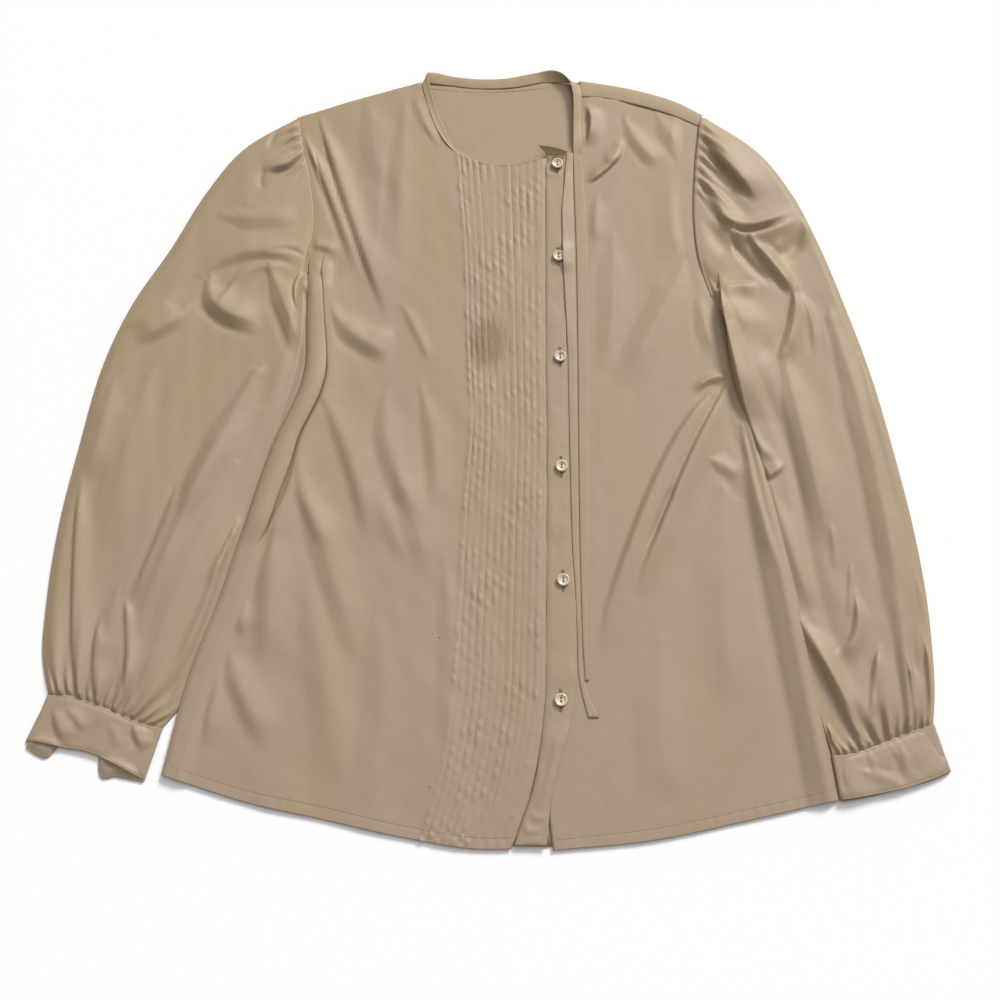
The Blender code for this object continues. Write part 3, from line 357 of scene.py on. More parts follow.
# Gathers drawn up by a seam: where each starts across the seam, how far it drifts
# sideways, its width at the seam, its height and how far it runs into the sleeve.
GATHER_COLUMNS = "at drift width height length"
RIGHT_WRIST_GATHERS = table(
    GATHER_COLUMNS,
    (0.06, -2, 2, 2.2, 34), (0.13, -4, 2.2, 3.2, 62), (0.21, -3, 1.8, 2.4, 30),
    (0.29, -2, 2.2, 3.4, 74), (0.36, 1, 1.8, 2, 24), (0.43, 2, 2, 2.8, 46), (0.5, 3, 1.8, 2.2, 28),
    (0.57, 6, 2.2, 3.2, 66), (0.65, 6, 1.8, 2.2, 26), (0.72, 10, 2, 2.8, 44),
    (0.8, 12, 1.9, 2.6, 36), (0.88, 12, 2, 2.8, 30),
)
LEFT_WRIST_GATHERS = table(
    GATHER_COLUMNS,
    (0.06, -2, 1.8, 2.6, 44), (0.13, -6, 2, 3.2, 48), (0.2, -3, 1.8, 2.4, 30),
    (0.26, -2, 2.2, 4.2, 92), (0.34, -1, 1.8, 2.6, 34), (0.41, 2, 2, 3.2, 54), (0.5, 8, 2, 3, 40),
    (0.57, 14, 1.8, 2.4, 30), (0.64, 16, 2.2, 3.6, 52), (0.72, 18, 1.8, 3, 40),
    (0.8, 16, 1.8, 3.2, 34), (0.88, 12, 1.8, 2.8, 34),
)
RIGHT_HEAD_GATHERS = table(
    GATHER_COLUMNS,
    (0.05, 0, 1.7, 2.4, 14), (0.11, 1, 1.8, 3, 24), (0.17, 1, 1.6, 2.6, 16),
    (0.24, 2, 1.8, 3.2, 26), (0.31, 3, 1.6, 2.2, 14),
)
LEFT_HEAD_GATHERS = table(
    GATHER_COLUMNS,
    (0.05, 2, 1.8, 2, 16), (0.1, 3, 1.8, 2.6, 28), (0.16, 3, 1.6, 2.4, 18), (0.22, 4, 1.8, 3, 34),
    (0.28, 4, 1.6, 2.4, 20), (0.34, 6, 1.8, 3, 40), (0.4, 5, 1.6, 1.8, 16),
)
# Creases of the buttonhole band: pulled under the top button, crumpled at the hem.
BAND_FOLDS = table(
    FOLD_COLUMNS,
    (50, 243, 58, 240, 68, 242, 2.2, 2.2, 0.7, 0), (30, -330, 34, -336, 44, -333, 2.6, 2.6, 1, 0.4),
    (34, -322, 40, -326, 46, -322, 2.4, 2.4, 0.8, 0.2),
    (28, -341, 36, -343, 43, -341, 2.2, 2.2, 0.8, 0),
    (56, -262, 50, -290, 40, -322, 2.4, 2.4, 0.6, 0.2),
)
RIGHT_CUFF_FOLDS = table(
    FOLD_COLUMNS,
    (-357, -267, -343, -269, -329, -274, 3, 3, 2, 0),
    (-299, -281, -284, -287, -266, -296, 3, 3, 2, 0),
    (-341, -246, -334, -257, -328, -271, 9, 4, 2.2, 0.6),
    (-330, -244, -322, -250, -314, -262, 6, 3, 1.4, 0.4),
    (-277, -256, -272, -265, -266, -276, 8, 3.5, 2.4, 0.4),
    (-296, -256, -290, -264, -286, -276, 5, 4, 0.8, 0.4),
)
LEFT_CUFF_FOLDS = table(
    FOLD_COLUMNS,
    (290, -290, 305, -295, 325, -299, 4, 5, 1.1, 0),
    (315, -276, 319, -289, 321, -303, 2.6, 2.6, -1.1, 0),
    (322, -272, 326, -286, 328, -300, 4, 3, 0.9, 0.3),
    (348, -264, 353, -273, 356, -283, 2.6, 2.6, -1, 0),
    (270, -280, 273, -294, 278, -309, 3, 3, -0.9, 0),
    (296, -278, 300, -286, 300, -296, 4, 3, 0.8, 0.2),
)
# The rolled margin under the right arm: its width from the side, and the dark gap
# between it and the body, up the body.
PLEAT = table(
    "y width gap",
    (-116, 14, 0.2), (-98, 19, 0.8), (-80, 20, 2), (-68, 20, 3.6), (-50, 21, 2.8), (-36, 21, 2),
    (-12, 19, 1.6), (20, 20, 1.4), (46, 19, 1), (60, 18, 0.5), (104, 15, 0.3), (143, 12, 0.3),
    (158, 12, 0.2),
)
HEM_DEPTH = 8.0  # of the narrow turned hem
EDGE_ROLL = 4.0  # how far from a sleeve's side its cloth starts to turn under
# The stain's middle and half its size on the tucks, and the specks' places and radii.
STAIN_MIDDLE, STAIN_HALF = (-1, 73), (27, 38)
STAIN_SPECKS = ((-44, -303, 1.1), (-38, -186, 1.2), (-44, -183, 0.8))
# How high each pintuck stands, from the side to the buttonholes.
TUCK_HEIGHTS = (1.7, 0.2, 0.5, 1.3, 0.2, 0.3, 0.2, 1.9, 0.9, 0.2, 0.2, 0.6, 0.9)
TUCK_EDGE = 0.86  # share of a tuck's width where its free edge stands
PUCKERS = 120  # along each tuck, more than its length needs
# Where the right front's points lie: across its rolled margin and the gap beside it, from
# the side, across each tuck as shares, and the hem's rows, from its edge.
MARGIN_PLACES = (
    0, 0.8, 1.8, 3, 4.5, 6.5, 8.5, 10.5, 12.5, 14.5, 16, 17, 17.7, 18.2, 18.6, 18.9,
    19.2, 19.5, 19.9, 20.4, 21, 21.7, 22.5, 23.4, 24.4, 25.6, 27, 28.6, 30.4,
)
PLEAT_END, MARGIN_END = 19, 60  # where the roll ends among them, and where they are even again
TUCK_PLACES = (0, 0.07, 0.15, 0.32, 0.5, 0.68, TUCK_EDGE, 0.93)
HEM_PLACES = (0, 0.7, 1.8, 3.2, 4.6, 6.0, 7.2, 8.2, 9.2, 10.4, 12.0)
LABEL_STITCHES = ((-54, 333), (-38, 330.5), (-23, 329), (9, 329), (34, 331), (57, 334))
# A button's half section: a raised rim round a dished middle.
BUTTON_PROFILE = table(
    "radius height",
    (0, 0.1), (4.4, 0.1), (5, 0.5), (5.25, 1.2), (5.1, 1.9), (4.6, 2.3), (4.1, 2.3),
    (3.6, 1.9), (3.1, 1.5), (1.8, 1.3), (0, 1.25),
)
BUTTONS = 6
BUTTON_HOLE = 1.25  # from a button's middle to the middle of a hole
HOLE_RADIUS = 0.85
BUTTON_TOP = 1.4  # of its dished middle, with the thread on it
BUTTONHOLE_HALF = 8.6
AIM = (10.5, -69.5, 0)  # where the camera looks, from the middle of the blouse

# What differs between the arms: the body's margin lies over the right sleeve, and the left
# sleeve is lifted over the body's. Distances are in from the sleeve's inner edge.
RIGHT_ARM = SimpleNamespace(
    rows=RIGHT_SLEEVE,
    armhole=RIGHT_ARMHOLE,
    folds=RIGHT_SLEEVE_FOLDS,
    wrist=RIGHT_WRIST_GATHERS,
    head=RIGHT_HEAD_GATHERS,
    cuff=RIGHT_CUFF,
    cuff_folds=RIGHT_CUFF_FOLDS,
    lifted=False,
    overlap=OVERLAP,  # how far the one lies over the other
    tucked_in=1.6,  # how far the sleeve's head shifts at its seam
    crown_in=OVERLAP + 15,  # where its swell stands full
    free_in=5,  # where its creases stand full
    grain=73,  # degrees, along which its slow waves run
    seed=21,  # of its unevenness
    cuff_seed=43,
)
LEFT_ARM = SimpleNamespace(
    rows=LEFT_SLEEVE,
    armhole=LEFT_ARMHOLE,
    folds=LEFT_SLEEVE_FOLDS,
    wrist=LEFT_WRIST_GATHERS,
    head=LEFT_HEAD_GATHERS,
    cuff=LEFT_CUFF,
    cuff_folds=LEFT_CUFF_FOLDS,
    lifted=True,
    overlap=19.0,
    tucked_in=-3.0,
    crown_in=45,
    free_in=2.5,
    grain=-76,
    seed=31,
    cuff_seed=41,
)
ARMS = {"right": RIGHT_ARM, "left": LEFT_ARM}

# Lengths in mm, across and along, that turn shares of a piece into places in its weave.
# Along the band and the ties the share is already a length.
WEAVES = {
    "back": (530, 640),
    "front_right": (290, 620),
    "front_left": (LEFT_WIDTH, 620),
    "front_band": (20, 1),
    "neck_band": (10, 14),
    "tie": (10, 1),
    "sleeve": (160, SLEEVE_LENGTH),
    "cuff": (CUFF_WIDTH, CUFF_DEPTH),
}


def linear(hex_colour, alpha=False):
    """A colour in linear light from its sRGB hex value."""
    parts = [int(hex_colour[i : i + 2], 16) / 255 for i in (0, 2, 4)]
    parts = [c / 12.92 if c <= 0.04045 else ((c + 0.055) / 1.055) ** 2.4 for c in parts]
    return (*parts, 1.0) if alpha else tuple(parts)


LENGTH = {"subtype": "DISTANCE", "unit": "LENGTH"}
COLOUR = {"subtype": "COLOR", "min": 0, "max": 1}


class BlouseCloth(bpy.types.PropertyGroup):
    """Sizes of the cloth and of what is sewn into it."""

    thickness: FloatProperty(
        name="Cloth thickness", description="Thickness of one layer of satin", default=0.0004, **LENGTH
    )
    cell: FloatProperty(
        name="Cell", description="Spacing of the points of the cloth", default=0.0020, **LENGTH
    )
    tucks: IntProperty(
        name="Pintucks",
        description="Pintucks in the right front",
        default=len(TUCK_HEIGHTS),
        min=1,
        max=len(TUCK_HEIGHTS),
    )
    tuck_height: FloatProperty(
        name="Tuck height", description="How far a pintuck stands up", default=0.00010, **LENGTH
    )
    pucker: FloatProperty(
        name="Pucker height",
        description="Height of the slanting puckers along the tucks",
        default=0.0010,
        **LENGTH,
    )
    crease_scale: FloatProperty(
        name="Crease scale",
        # Scale of the height of the listed creases
        description="Scale of the height of the creases placed by hand",
        default=1.2,
        min=0.0,
        max=1.3,
    )
    stitch: FloatProperty(
        name="Stitch length", description="Length of one machine stitch", default=0.0024, **LENGTH
    )
    thread: FloatProperty(
        name="Thread", description="Diameter of the sewing thread", default=0.0003, **LENGTH
    )


class BlouseColours(bpy.types.PropertyGroup):
    """Colours of the cloth, the buttons and the thread."""

    rosy: FloatVectorProperty(
        name="Rosy satin",
        description="The satin where it looks pinkest",
        default=linear("a08b73"),
        **COLOUR,
    )
    straw: FloatVectorProperty(
        name="Straw satin",
        description="The satin where it looks yellowest",
        default=linear("a28b67"),
        **COLOUR,
    )
    stain: FloatVectorProperty(
        name="Stain", description="The brown stain on the tucks", default=linear("785a2c"), **COLOUR
    )
    pearl: FloatVectorProperty(
        name="Pearl", description="The buttons' shell", default=linear("e6dfc8"), **COLOUR
    )
    thread: FloatVectorProperty(
        name="Thread", description="The sewing thread", default=linear("a89073"), **COLOUR
    )


class BlouseStage(bpy.types.PropertyGroup):
    """The floor, the lights and the camera."""

    floor: FloatVectorProperty(
        name="Floor",
        description="Colour of the surface that the blouse lies on",
        default=linear("fdfdfd"),
        **COLOUR,
    )
    key: FloatProperty(
        name="Window light", description="Strength of the light from the window", default=2.95
    )
    fill: FloatProperty(name="Ceiling light", description="Strength of the light above", default=0.65)
    sky: FloatProperty(name="Sky", description="Strength of the even light", default=0.34)
    tilt: FloatProperty(
        name="Camera tilt",
        description="How far the camera leans from straight down",
        default=math.radians(17.5),
        subtype="ANGLE",
        unit="ROTATION",
    )
    distance: FloatProperty(
        name="Camera distance",
        description="From the camera to the point it looks at",
        default=1.0,
        **LENGTH,
    )
    lens: FloatProperty(
        name="Lens", description="Focal length", default=43.2, subtype="DISTANCE_CAMERA", unit="CAMERA"
    )


def cloth_settings():
    """The sizes that a user may change."""
    return bpy.context.scene.blouse_cloth


def ramp(value, start, end):
    """0 before start and 1 after end, with a smooth rise between."""
    t = np.clip((value - start) / (end - start), 0, 1)
    return t * t * (3 - 2 * t)


def hump(distance, width):
    """1 in the middle, and fading out within about two widths."""
    return np.exp(-((distance / width) ** 2))


def arch(share):
    """A half round from 0 over 1 back to 0."""
    return np.sin(math.pi * np.clip(share, 0, 1))


def turned_edge(share):
    """A quarter round, from 0 at an edge to 1 where the share from it is 1."""
    return np.sqrt(1 - np.clip(1 - share, 0, 1) ** 2)


def steps(start, end, cell):
    """Even places from start to end, about a cell apart."""
    return np.linspace(start, end, max(2, round(abs(end - start) / cell) + 1))


def apart(points, others):
    """Distance in the plane between matching points."""
    return np.linalg.norm(points[..., :2] - others[..., :2], axis=-1)


def raised(xy, z):
    """Points in the plane with their heights."""
    return np.concatenate([xy, np.broadcast_to(z, xy.shape[:-1])[..., None]], axis=-1)


def points_of(part, line, axes="xy"):
    """Points from the columns that hold one line of a table."""
    return np.stack([part[f"{line}_{axis}"] for axis in axes], axis=-1)


def line_through(rows, share):
    """Points of the smooth line through a table's rows, at shares of its length."""
    share = np.asarray(share, float)
    points = np.empty(share.shape + (2,))
    knots = rows["share"]
    corners = [i for i in range(1, len(knots) - 1) if rows["corner"][i]]
    ends = [0, *corners, len(knots) - 1]
    for first, last in zip(ends, ends[1:]):
        part = slice(first, last + 1)
        k = knots[part]
        inside = (share >= k[0] - 1e-9) & (share <= k[-1] + 1e-9)
        s = share[inside]
        i = np.clip(np.searchsorted(k, s, side="right") - 1, 0, len(k) - 2)
        h = k[i + 1] - k[i]
        t = (s - k[i]) / h
        for axis, name in enumerate("xy"):
            value = rows[name][part]
            slope = np.gradient(value, k)
            points[inside, axis] = (
                value[i] * (1 + 2 * t) * (1 - t) ** 2
                + slope[i] * h * t * (1 - t) ** 2
                + value[i + 1] * t * t * (3 - 2 * t)
                + slope[i + 1] * h * t * t * (t - 1)
            )
    return points


def smooth_columns(rows, knots, at):
    """The named columns of a table at new places along its knots, smoothly interpolated."""
    line = {"share": knots, "corner": np.zeros(len(knots))}
    return {name: line_through({**line, "x": value, "y": value}, at)[..., 0] for name, value in rows.items()}


def patch(bottom, top, left, right, across, up):
    """Points inside four edges: across and up are arrays of shares of the same shape."""
    low, high = line_through(bottom, across), line_through(top, across)
    first, last = line_through(left, up), line_through(right, up)
    u, v = across[..., None], up[..., None]
    blend = sum(
        (u if i else 1 - u) * (v if j else 1 - v) * line_through(edge, np.float64(i))
        for j, edge in enumerate((bottom, top))
        for i in (0, 1)
    )
    return (1 - v) * low + v * high + (1 - u) * first + u * last - blend


def moved_by_folds(rows, xy, scale=1.0):
    """How a table of creases moves each point, in x, y and height."""
    move = np.zeros(xy.shape[:-1] + (3,))
    t = np.linspace(0, 1, 41)
    for i in range(len(rows["x0"])):
        fold = {name: value[i] for name, value in rows.items()}
        start, middle, end = (np.array((fold["x" + k], fold["y" + k])) for k in "0m1")
        bend = 2 * middle - (start + end) / 2
        line = np.outer((1 - t) ** 2, start) + np.outer(2 * t * (1 - t), bend) + np.outer(t * t, end)
        narrower, wider = sorted((fold["left"], fold["right"]))
        reach = 2.4 * wider
        near = ((xy > line.min(0) - reach) & (xy < line.max(0) + reach)).all(-1)
        offset = xy[near][:, None] - line
        nearest = np.hypot(*np.moveaxis(offset, -1, 0)).argmin(1)
        offset = offset[np.arange(len(nearest)), nearest]
        tangent = np.gradient(line, axis=0)
        step = np.linalg.norm(tangent, axis=1)
        tangent = (tangent / step[:, None])[nearest]
        beside = tangent[:, 0] * offset[:, 1] - tangent[:, 1] * offset[:, 0]
        along = (tangent * offset).sum(1)
        beyond = (nearest == 0) & (along < 0) | (nearest == len(t) - 1) & (along > 0)
        away = np.where(beyond, np.hypot(beside, along), abs(beside))
        width = np.where(beside > 0, fold["left"], fold["right"])
        place = np.clip(t[nearest] + along / (step[nearest] * (len(t) - 1)), 0.03, 0.97)
        # A narrow crease starts sharply, a broad one slowly.
        start = 0.2 if narrower < 5.5 else 0.5
        run = ramp(place, 0.06 - 0.6 * start, start) * ramp(place, 1.0, 0.68)
        crisp = width < wider
        width = width * (0.4 + 0.6 * ramp(place, 0.0, 0.35))
        bump = run * np.where(crisp, np.clip(1 - away / (1.3 * width), 0, 1), hump(away, width))
        # A steep side has a shallow groove along its foot.
        foot = run * hump(away - 1.6 * width, 0.4 * width) * crisp
        to_right = np.column_stack([tangent[:, 1], -tangent[:, 0]])
        move[near, :2] += (scale * fold["lean"] * bump)[:, None] * to_right
        move[near, 2] += scale * fold["height"] * (bump - FOOT * foot)
    return move


def waves(seed, xy, shortest, longest, height, along=None, count=14):
    """Gentle unevenness: a seeded sum of slow waves, whose crests may run along an angle."""
    draw = np.random.default_rng(seed)
    total = np.zeros(xy.shape[:-1])
    for _ in range(count):
        length = draw.uniform(shortest, longest)
        turn, start = draw.uniform(0, math.tau, 2)
        if along is not None:
            turn = math.radians(along + 90) + draw.normal(0, 0.3)
        across = math.cos(turn) * xy[..., 0] + math.sin(turn) * xy[..., 1]
        total += np.sin(math.tau / length * across + start)
    return height * total / math.sqrt(count)


def gathered(rows, beside, from_seam, width):
    """Height of the gathers drawn up by a seam: beside is the distance across in mm."""
    height = np.zeros(beside.shape)
    for at, drift, narrow, tall, length in zip(*(rows[name] for name in GATHER_COLUMNS.split())):
        fade = from_seam / length
        centre = at * width + drift * fade
        spread = narrow * (1 + 1.5 * np.clip(fade, 0, 1.4))
        run = hump(fade, 1) * ramp(from_seam, -1, 5)
        off = abs(beside - centre)
        grooves = 0.35 * hump(off - 1.7 * spread, 0.6 * spread)
        height += tall * run * (hump(off, spread) - grooves)
    return height


def kept_above(z, floor):
    """Heights that ease off within the last millimetre over what lies below them."""
    near = z < floor + 1
    return np.where(near, floor + np.exp(np.minimum(z - floor - 1, 0)), z)


def shell(node, grids, material, layers=1.0, offset=-1.0):
    """The cloth that stands for a node, from grids of points in mm with their places along
    the grain. The grids are merged where they meet, turned outwards and given their wall."""
    mesh = bmesh.new()
    grain = mesh.verts.layers.float_vector.new("grain")
    for points, places in grids:
        rows, columns = points.shape[:2]
        made = bmesh.ops.create_grid(mesh, x_segments=columns - 1, y_segments=rows - 1, size=1)
        flat, place = points.reshape(-1, 3) * MM, places.reshape(-1, 2) * MM
        for vert, co, (across, along) in zip(made["verts"], flat, place):
            vert.co = co
            vert[grain] = (across, along, 0)
    bmesh.ops.remove_doubles(mesh, verts=mesh.verts, dist=1e-6)
    bmesh.ops.recalc_face_normals(mesh, faces=mesh.faces)
    highest = max(mesh.faces, key=lambda face: face.calc_center_median().z)
    if highest.normal.z < 0:
        bmesh.ops.reverse_faces(mesh, faces=mesh.faces)
    piece = finished(f"{node}_cloth", mesh, material, node)
    wall = piece.modifiers.new("wall of cloth", "SOLIDIFY")
    wall.thickness = layers * cloth_settings().thickness
    wall.offset = offset


def in_weave(kind, across, along):
    """Places in the weave, in mm, from shares across and along a kind of piece."""
    wide, long = WEAVES[kind]
    return np.dstack([across * wide, along * long])


def panel(node, surface, across, along, material, layers=1.0, offset=-1.0):
    """A piece of one surface, from shares across and along it."""
    places = in_weave(node, across, along)
    shell(node, [(surface(across, along), places)], material, layers, offset)


def finished(name, mesh, material, node=None):
    """Puts a bmesh in the scene as a piece that rides on the body and stands for a node."""
    data = bpy.data.meshes.new(name)
    mesh.to_mesh(data)
    mesh.free()
    data.shade_smooth()
    piece = bpy.data.objects.new(name, data)
    data.materials.append(material)
    bpy.context.scene.collection.objects.link(piece)
    if node:
        low, high = (np.array(corner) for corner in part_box(node))
        places = np.array([v.co for v in data.vertices])
        if (places.min(0) < low - STRAY).any() or (places.max(0) > high + STRAY).any():
            raise RuntimeError(f"{name} strays from the solid {node}")
        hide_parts(node)
    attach(piece, "root")
    return piece


def add(tree, kind, output, inputs=None, **settings):
    """Adds a shader node with its settings, values and links, and gives one of its outputs."""
    node = tree.nodes.new("ShaderNode" + kind)
    for name, value in settings.items():
        setattr(node, name, value)
    for name, value in (inputs or {}).items():
        if isinstance(value, bpy.types.NodeSocket):
            tree.links.new(value, node.inputs[name])
        else:
            node.inputs[name].default_value = value
    return node.outputs[output]


FACTOR, COLOUR_A, COLOUR_B, MIXED = 0, 6, 7, 2  # sockets of a Mix node that mixes colours


def new_material(name, **constants):
    """A material with its Principled shader's plain values set; gives tree and shader."""
    material = bpy.data.materials.new(name)
    material.use_nodes = True
    shader = material.node_tree.nodes["Principled BSDF"]
    for socket, value in constants.items():
        shader.inputs[socket.replace("_", " ")].default_value = value
    return material, material.node_tree, shader


def stain_mask(tree, place):
    """Where the tucks are stained: a patch that has run along the threads, and specks."""
    shift = (*(-middle / half for middle, half in zip(STAIN_MIDDLE, STAIN_HALF)), 0)
    scale = (*(1 / MM / half for half in STAIN_HALF), 0)
    offset = add(tree, "Mapping", "Vector", {"Vector": place, "Location": shift, "Scale": scale})
    far = add(tree, "VectorMath", "Value", {0: offset}, operation="LENGTH")
    runs = add(tree, "Mapping", "Vector", {"Vector": place, "Scale": (300.0, 34.0, 1.0)})
    blotch = add(tree, "TexNoise", "Fac", {"Vector": runs, "Scale": 1.0, "Detail": 3.0})
    edge = add(tree, "Math", "Value", {0: far, 1: blotch}, operation="SUBTRACT")
    total = add(
        tree,
        "MapRange",
        "Result",
        {"Value": edge, "From Min": 0.3, "From Max": -0.16, "To Max": 0.6},
        interpolation_type="SMOOTHSTEP",
    )
    for x, y, radius in STAIN_SPECKS:
        middle = (x * MM, y * MM, FRONT_TOP * MM)
        spot = add(tree, "VectorMath", "Value", {0: place, 1: middle}, operation="DISTANCE")
        limits = {"From Min": radius * MM, "From Max": 0.4 * radius * MM}
        dot = add(tree, "MapRange", "Result", {"Value": spot, **limits})
        total = add(tree, "Math", "Value", {0: total, 1: dot}, operation="MAXIMUM")
    return total


def satin_tone(tree, place, grain, colours):
    """The satin's colour, which drifts between rosy and straw over a hand's width, further
    along the grain than across it. It is also painted yellower towards the shoulders and pinker towards the
    hem: painted light, the warmer light on the upper part put into the colour."""
    slow = add(tree, "Mapping", "Vector", {"Vector": grain, "Scale": (13.0, 3.0, 1.0)})
    drift = add(tree, "TexNoise", "Fac", {"Vector": slow, "Scale": 1.0, "Detail": 2.0})
    # Painted light: the height up the blouse pushes the tint towards straw, standing in for warmer light on
    # the shoulders.
    height = add(tree, "SeparateXYZ", "Y", {"Vector": place})
    drift = add(tree, "Math", "Value", {0: height, 1: 0.55, 2: drift}, operation="MULTIPLY_ADD")
    drift = add(tree, "MapRange", "Result", {"Value": drift, "From Min": 0.28, "From Max": 0.72})
    tones = {FACTOR: drift, COLOUR_A: (*colours.rosy, 1), COLOUR_B: (*colours.straw, 1)}
    colour = add(tree, "Mix", MIXED, tones, data_type="RGBA")
    # Uneven warp yarns: faint streaks along the grain, a few millimetres apart.
    yarns = add(tree, "Mapping", "Vector", {"Vector": grain, "Scale": (320.0, 22.0, 1.0)})
    streaks = add(tree, "TexNoise", "Fac", {"Vector": yarns, "Scale": 1.0, "Detail": 2.0})
    limits = {"From Min": 0.3, "From Max": 0.7, "To Min": 0.985, "To Max": 1.015}
    light = add(tree, "MapRange", "Result", {"Value": streaks, **limits})
    light = add(tree, "CombineColor", "Color", {"Red": light, "Green": light, "Blue": light})
    lit = {FACTOR: 1.0, COLOUR_A: colour, COLOUR_B: light}
    return add(tree, "Mix", MIXED, lit, data_type="RGBA", blend_type="MULTIPLY")


def satin_relief(tree, place, grain):
    """Soft crumpling, 20 mm and 6 mm across, under a weave drawn at 1 mm, three times as
    coarse as the real one, because a finer one would not show."""
    crumple = add(
        tree, "TexNoise", "Fac", {"Vector": place, "Scale": 48.0, "Detail": 3.0, "Roughness": 0.45}
    )
    soft = add(tree, "Bump", "Normal", {"Height": crumple, "Strength": 0.35, "Distance": 0.0012})
    diagonal = add(
        tree, "TexWave", "Fac", {"Vector": grain, "Scale": 314.0}, bands_direction="DIAGONAL"
    )
    weave = {"Height": diagonal, "Strength": 0.12, "Distance": 0.0001, "Normal": soft}
    return add(tree, "Bump", "Normal", weave)


def satin(name, stained=False):
    """Polyester charmeuse: long floats over a fine weave, so it has a broad soft sheen
    that follows the folds."""
    if name in bpy.data.materials:
        return bpy.data.materials[name]
    colours = bpy.context.scene.blouse_colours
    material, tree, shader = new_material(
        name, Roughness=0.58, Sheen_Weight=0.03, Sheen_Roughness=0.5, Specular_IOR_Level=0.75
    )
    place = add(tree, "TexCoord", "Object")
    grain = add(tree, "Attribute", "Vector", attribute_name="grain")
    colour = satin_tone(tree, place, grain, colours)
    if stained:
        marks = {FACTOR: stain_mask(tree, place), COLOUR_A: colour, COLOUR_B: (*colours.stain, 1)}
        colour = add(tree, "Mix", MIXED, marks, data_type="RGBA")
    tree.links.new(colour, shader.inputs["Base Color"])
    tree.links.new(satin_relief(tree, place, grain), shader.inputs["Normal"])
    return material


def doubled_satin():
    """The same satin where two layers are sewn together."""
    return satin("doubled satin charmeuse")


def pearl_shell():
    """Trocas shell: cloudy layers with a wet polish and a faint change of hue."""
    if "pearl shell" in bpy.data.materials:
        return bpy.data.materials["pearl shell"]
    colours = bpy.context.scene.blouse_colours
    material, tree, shader = new_material(
        "pearl shell", Roughness=0.22, Coat_Weight=0.5, Coat_Roughness=0.08, Specular_IOR_Level=0.6
    )
    place = add(tree, "TexCoord", "Object")
    clouds = add(
        tree, "TexNoise", "Fac", {"Vector": place, "Scale": 420.0, "Detail": 3.0, "Distortion": 1.2}
    )
    hues = {FACTOR: clouds, COLOUR_A: linear("b3a688", True), COLOUR_B: (*colours.pearl, 1)}
    tree.links.new(add(tree, "Mix", MIXED, hues, data_type="RGBA"), shader.inputs["Base Color"])
    layers = add(tree, "Bump", "Normal", {"Height": clouds, "Strength": 0.3, "Distance": 0.0002})
    tree.links.new(layers, shader.inputs["Normal"])
    return material


def thread():
    """Spun polyester thread, twisted, a little darker than the cloth and matt."""
    if "polyester thread" in bpy.data.materials:
        return bpy.data.materials["polyester thread"]
    colours = bpy.context.scene.blouse_colours
    material, tree, shader = new_material("polyester thread", Roughness=0.7)
    place = add(tree, "TexCoord", "Object")
    twist = add(tree, "TexNoise", "Fac", {"Vector": place, "Scale": 3000.0})
    tones = {FACTOR: twist, COLOUR_A: linear("8d765a", True), COLOUR_B: (*colours.thread, 1)}
    tree.links.new(add(tree, "Mix", MIXED, tones, data_type="RGBA"), shader.inputs["Base Color"])
    return material


def edge_between(rows, dx, first, last):
    """An edge moved sideways, with its two ends set."""
    x, y = rows["x"] + dx, rows["y"].copy()
    x[0], y[0], x[-1], y[-1] = *first, *last
    return {**rows, "x": x, "y": y}


BACK_LEFT = edge_between(RIGHT_SIDE, 0.4, (-251, -292), (-176.6, 300))
BACK_RIGHT = edge_between(LEFT_SIDE, -0.4, (274, -309), (197, 302))


def right_margin_lift(distance, y, clear=0.0):
    """Height of the body's right margin over the sleeve that slips under it."""
    start, end = UNCOVERED
    inwards = 1 - ramp(distance, OVERLAP + clear, OVERLAP + 0.5 * SLOPE + 5 * clear)
    return OVER_Z * inwards * (1 - ramp(y, start + clear, end + clear))


def hem_relief(from_hem, beside):
    """A narrow turned hem: two layers up to its stitches, which pucker it a little."""
    turned = 0.06 * (1 - ramp(from_hem, HEM_DEPTH - 0.6, HEM_DEPTH + 0.8))
    groove = -0.07 * hump(from_hem - HEM_DEPTH, 1.1)
    beat = np.sin(math.tau * beside / 9.5 + 2 * np.sin(beside / 23))
    swell = 0.6 + 0.4 * np.sin(beside / 31 + 1)
    return turned + groove + 0.2 * beat * swell * hump(from_hem - 5, 5)


def back_points(across, up):
    """The upper face of the back."""
    xy = patch(BACK_HEM, BACK_TOP, BACK_LEFT, BACK_RIGHT, across, up)
    distance = apart(xy, line_through(BACK_LEFT, up))
    return raised(xy, CLOTH + right_margin_lift(distance, xy[..., 1]) + waves(3, xy, 40, 110, 0.14))


def shoulder_strip(fold):
    """The back's strip that goes round its fold at the left shoulder and down to the seam
    on the front."""
    seam = line_through(SHOULDER_SEAM, np.linspace(0, 1, len(fold))) - (0, 2.8)
    seam = raised(seam, FRONT_TOP - 0.1)
    outward = fold - seam
    outward[:, 2] = 0
    outward /= np.linalg.norm(outward, axis=1)[:, None]
    middle, half = (CLOTH + FRONT_TOP) / 2, (FRONT_TOP - CLOTH) / 2
    rows = [fold]
    for turn in np.linspace(-math.pi / 2, math.pi / 2, 9)[1:]:
        level = (0, 0, middle + half * np.sin(turn))
        rows.append(fold * (1, 1, 0) + np.cos(turn) * 0.9 * outward + level)
    folded = rows[-1]
    for part in np.linspace(0, 1, 9)[1:]:
        puff = 0.4 * math.sin(math.pi * part) ** 0.6
        rows.append(folded + part * (seam - folded) + (0, 0, puff))
    return np.array(rows)


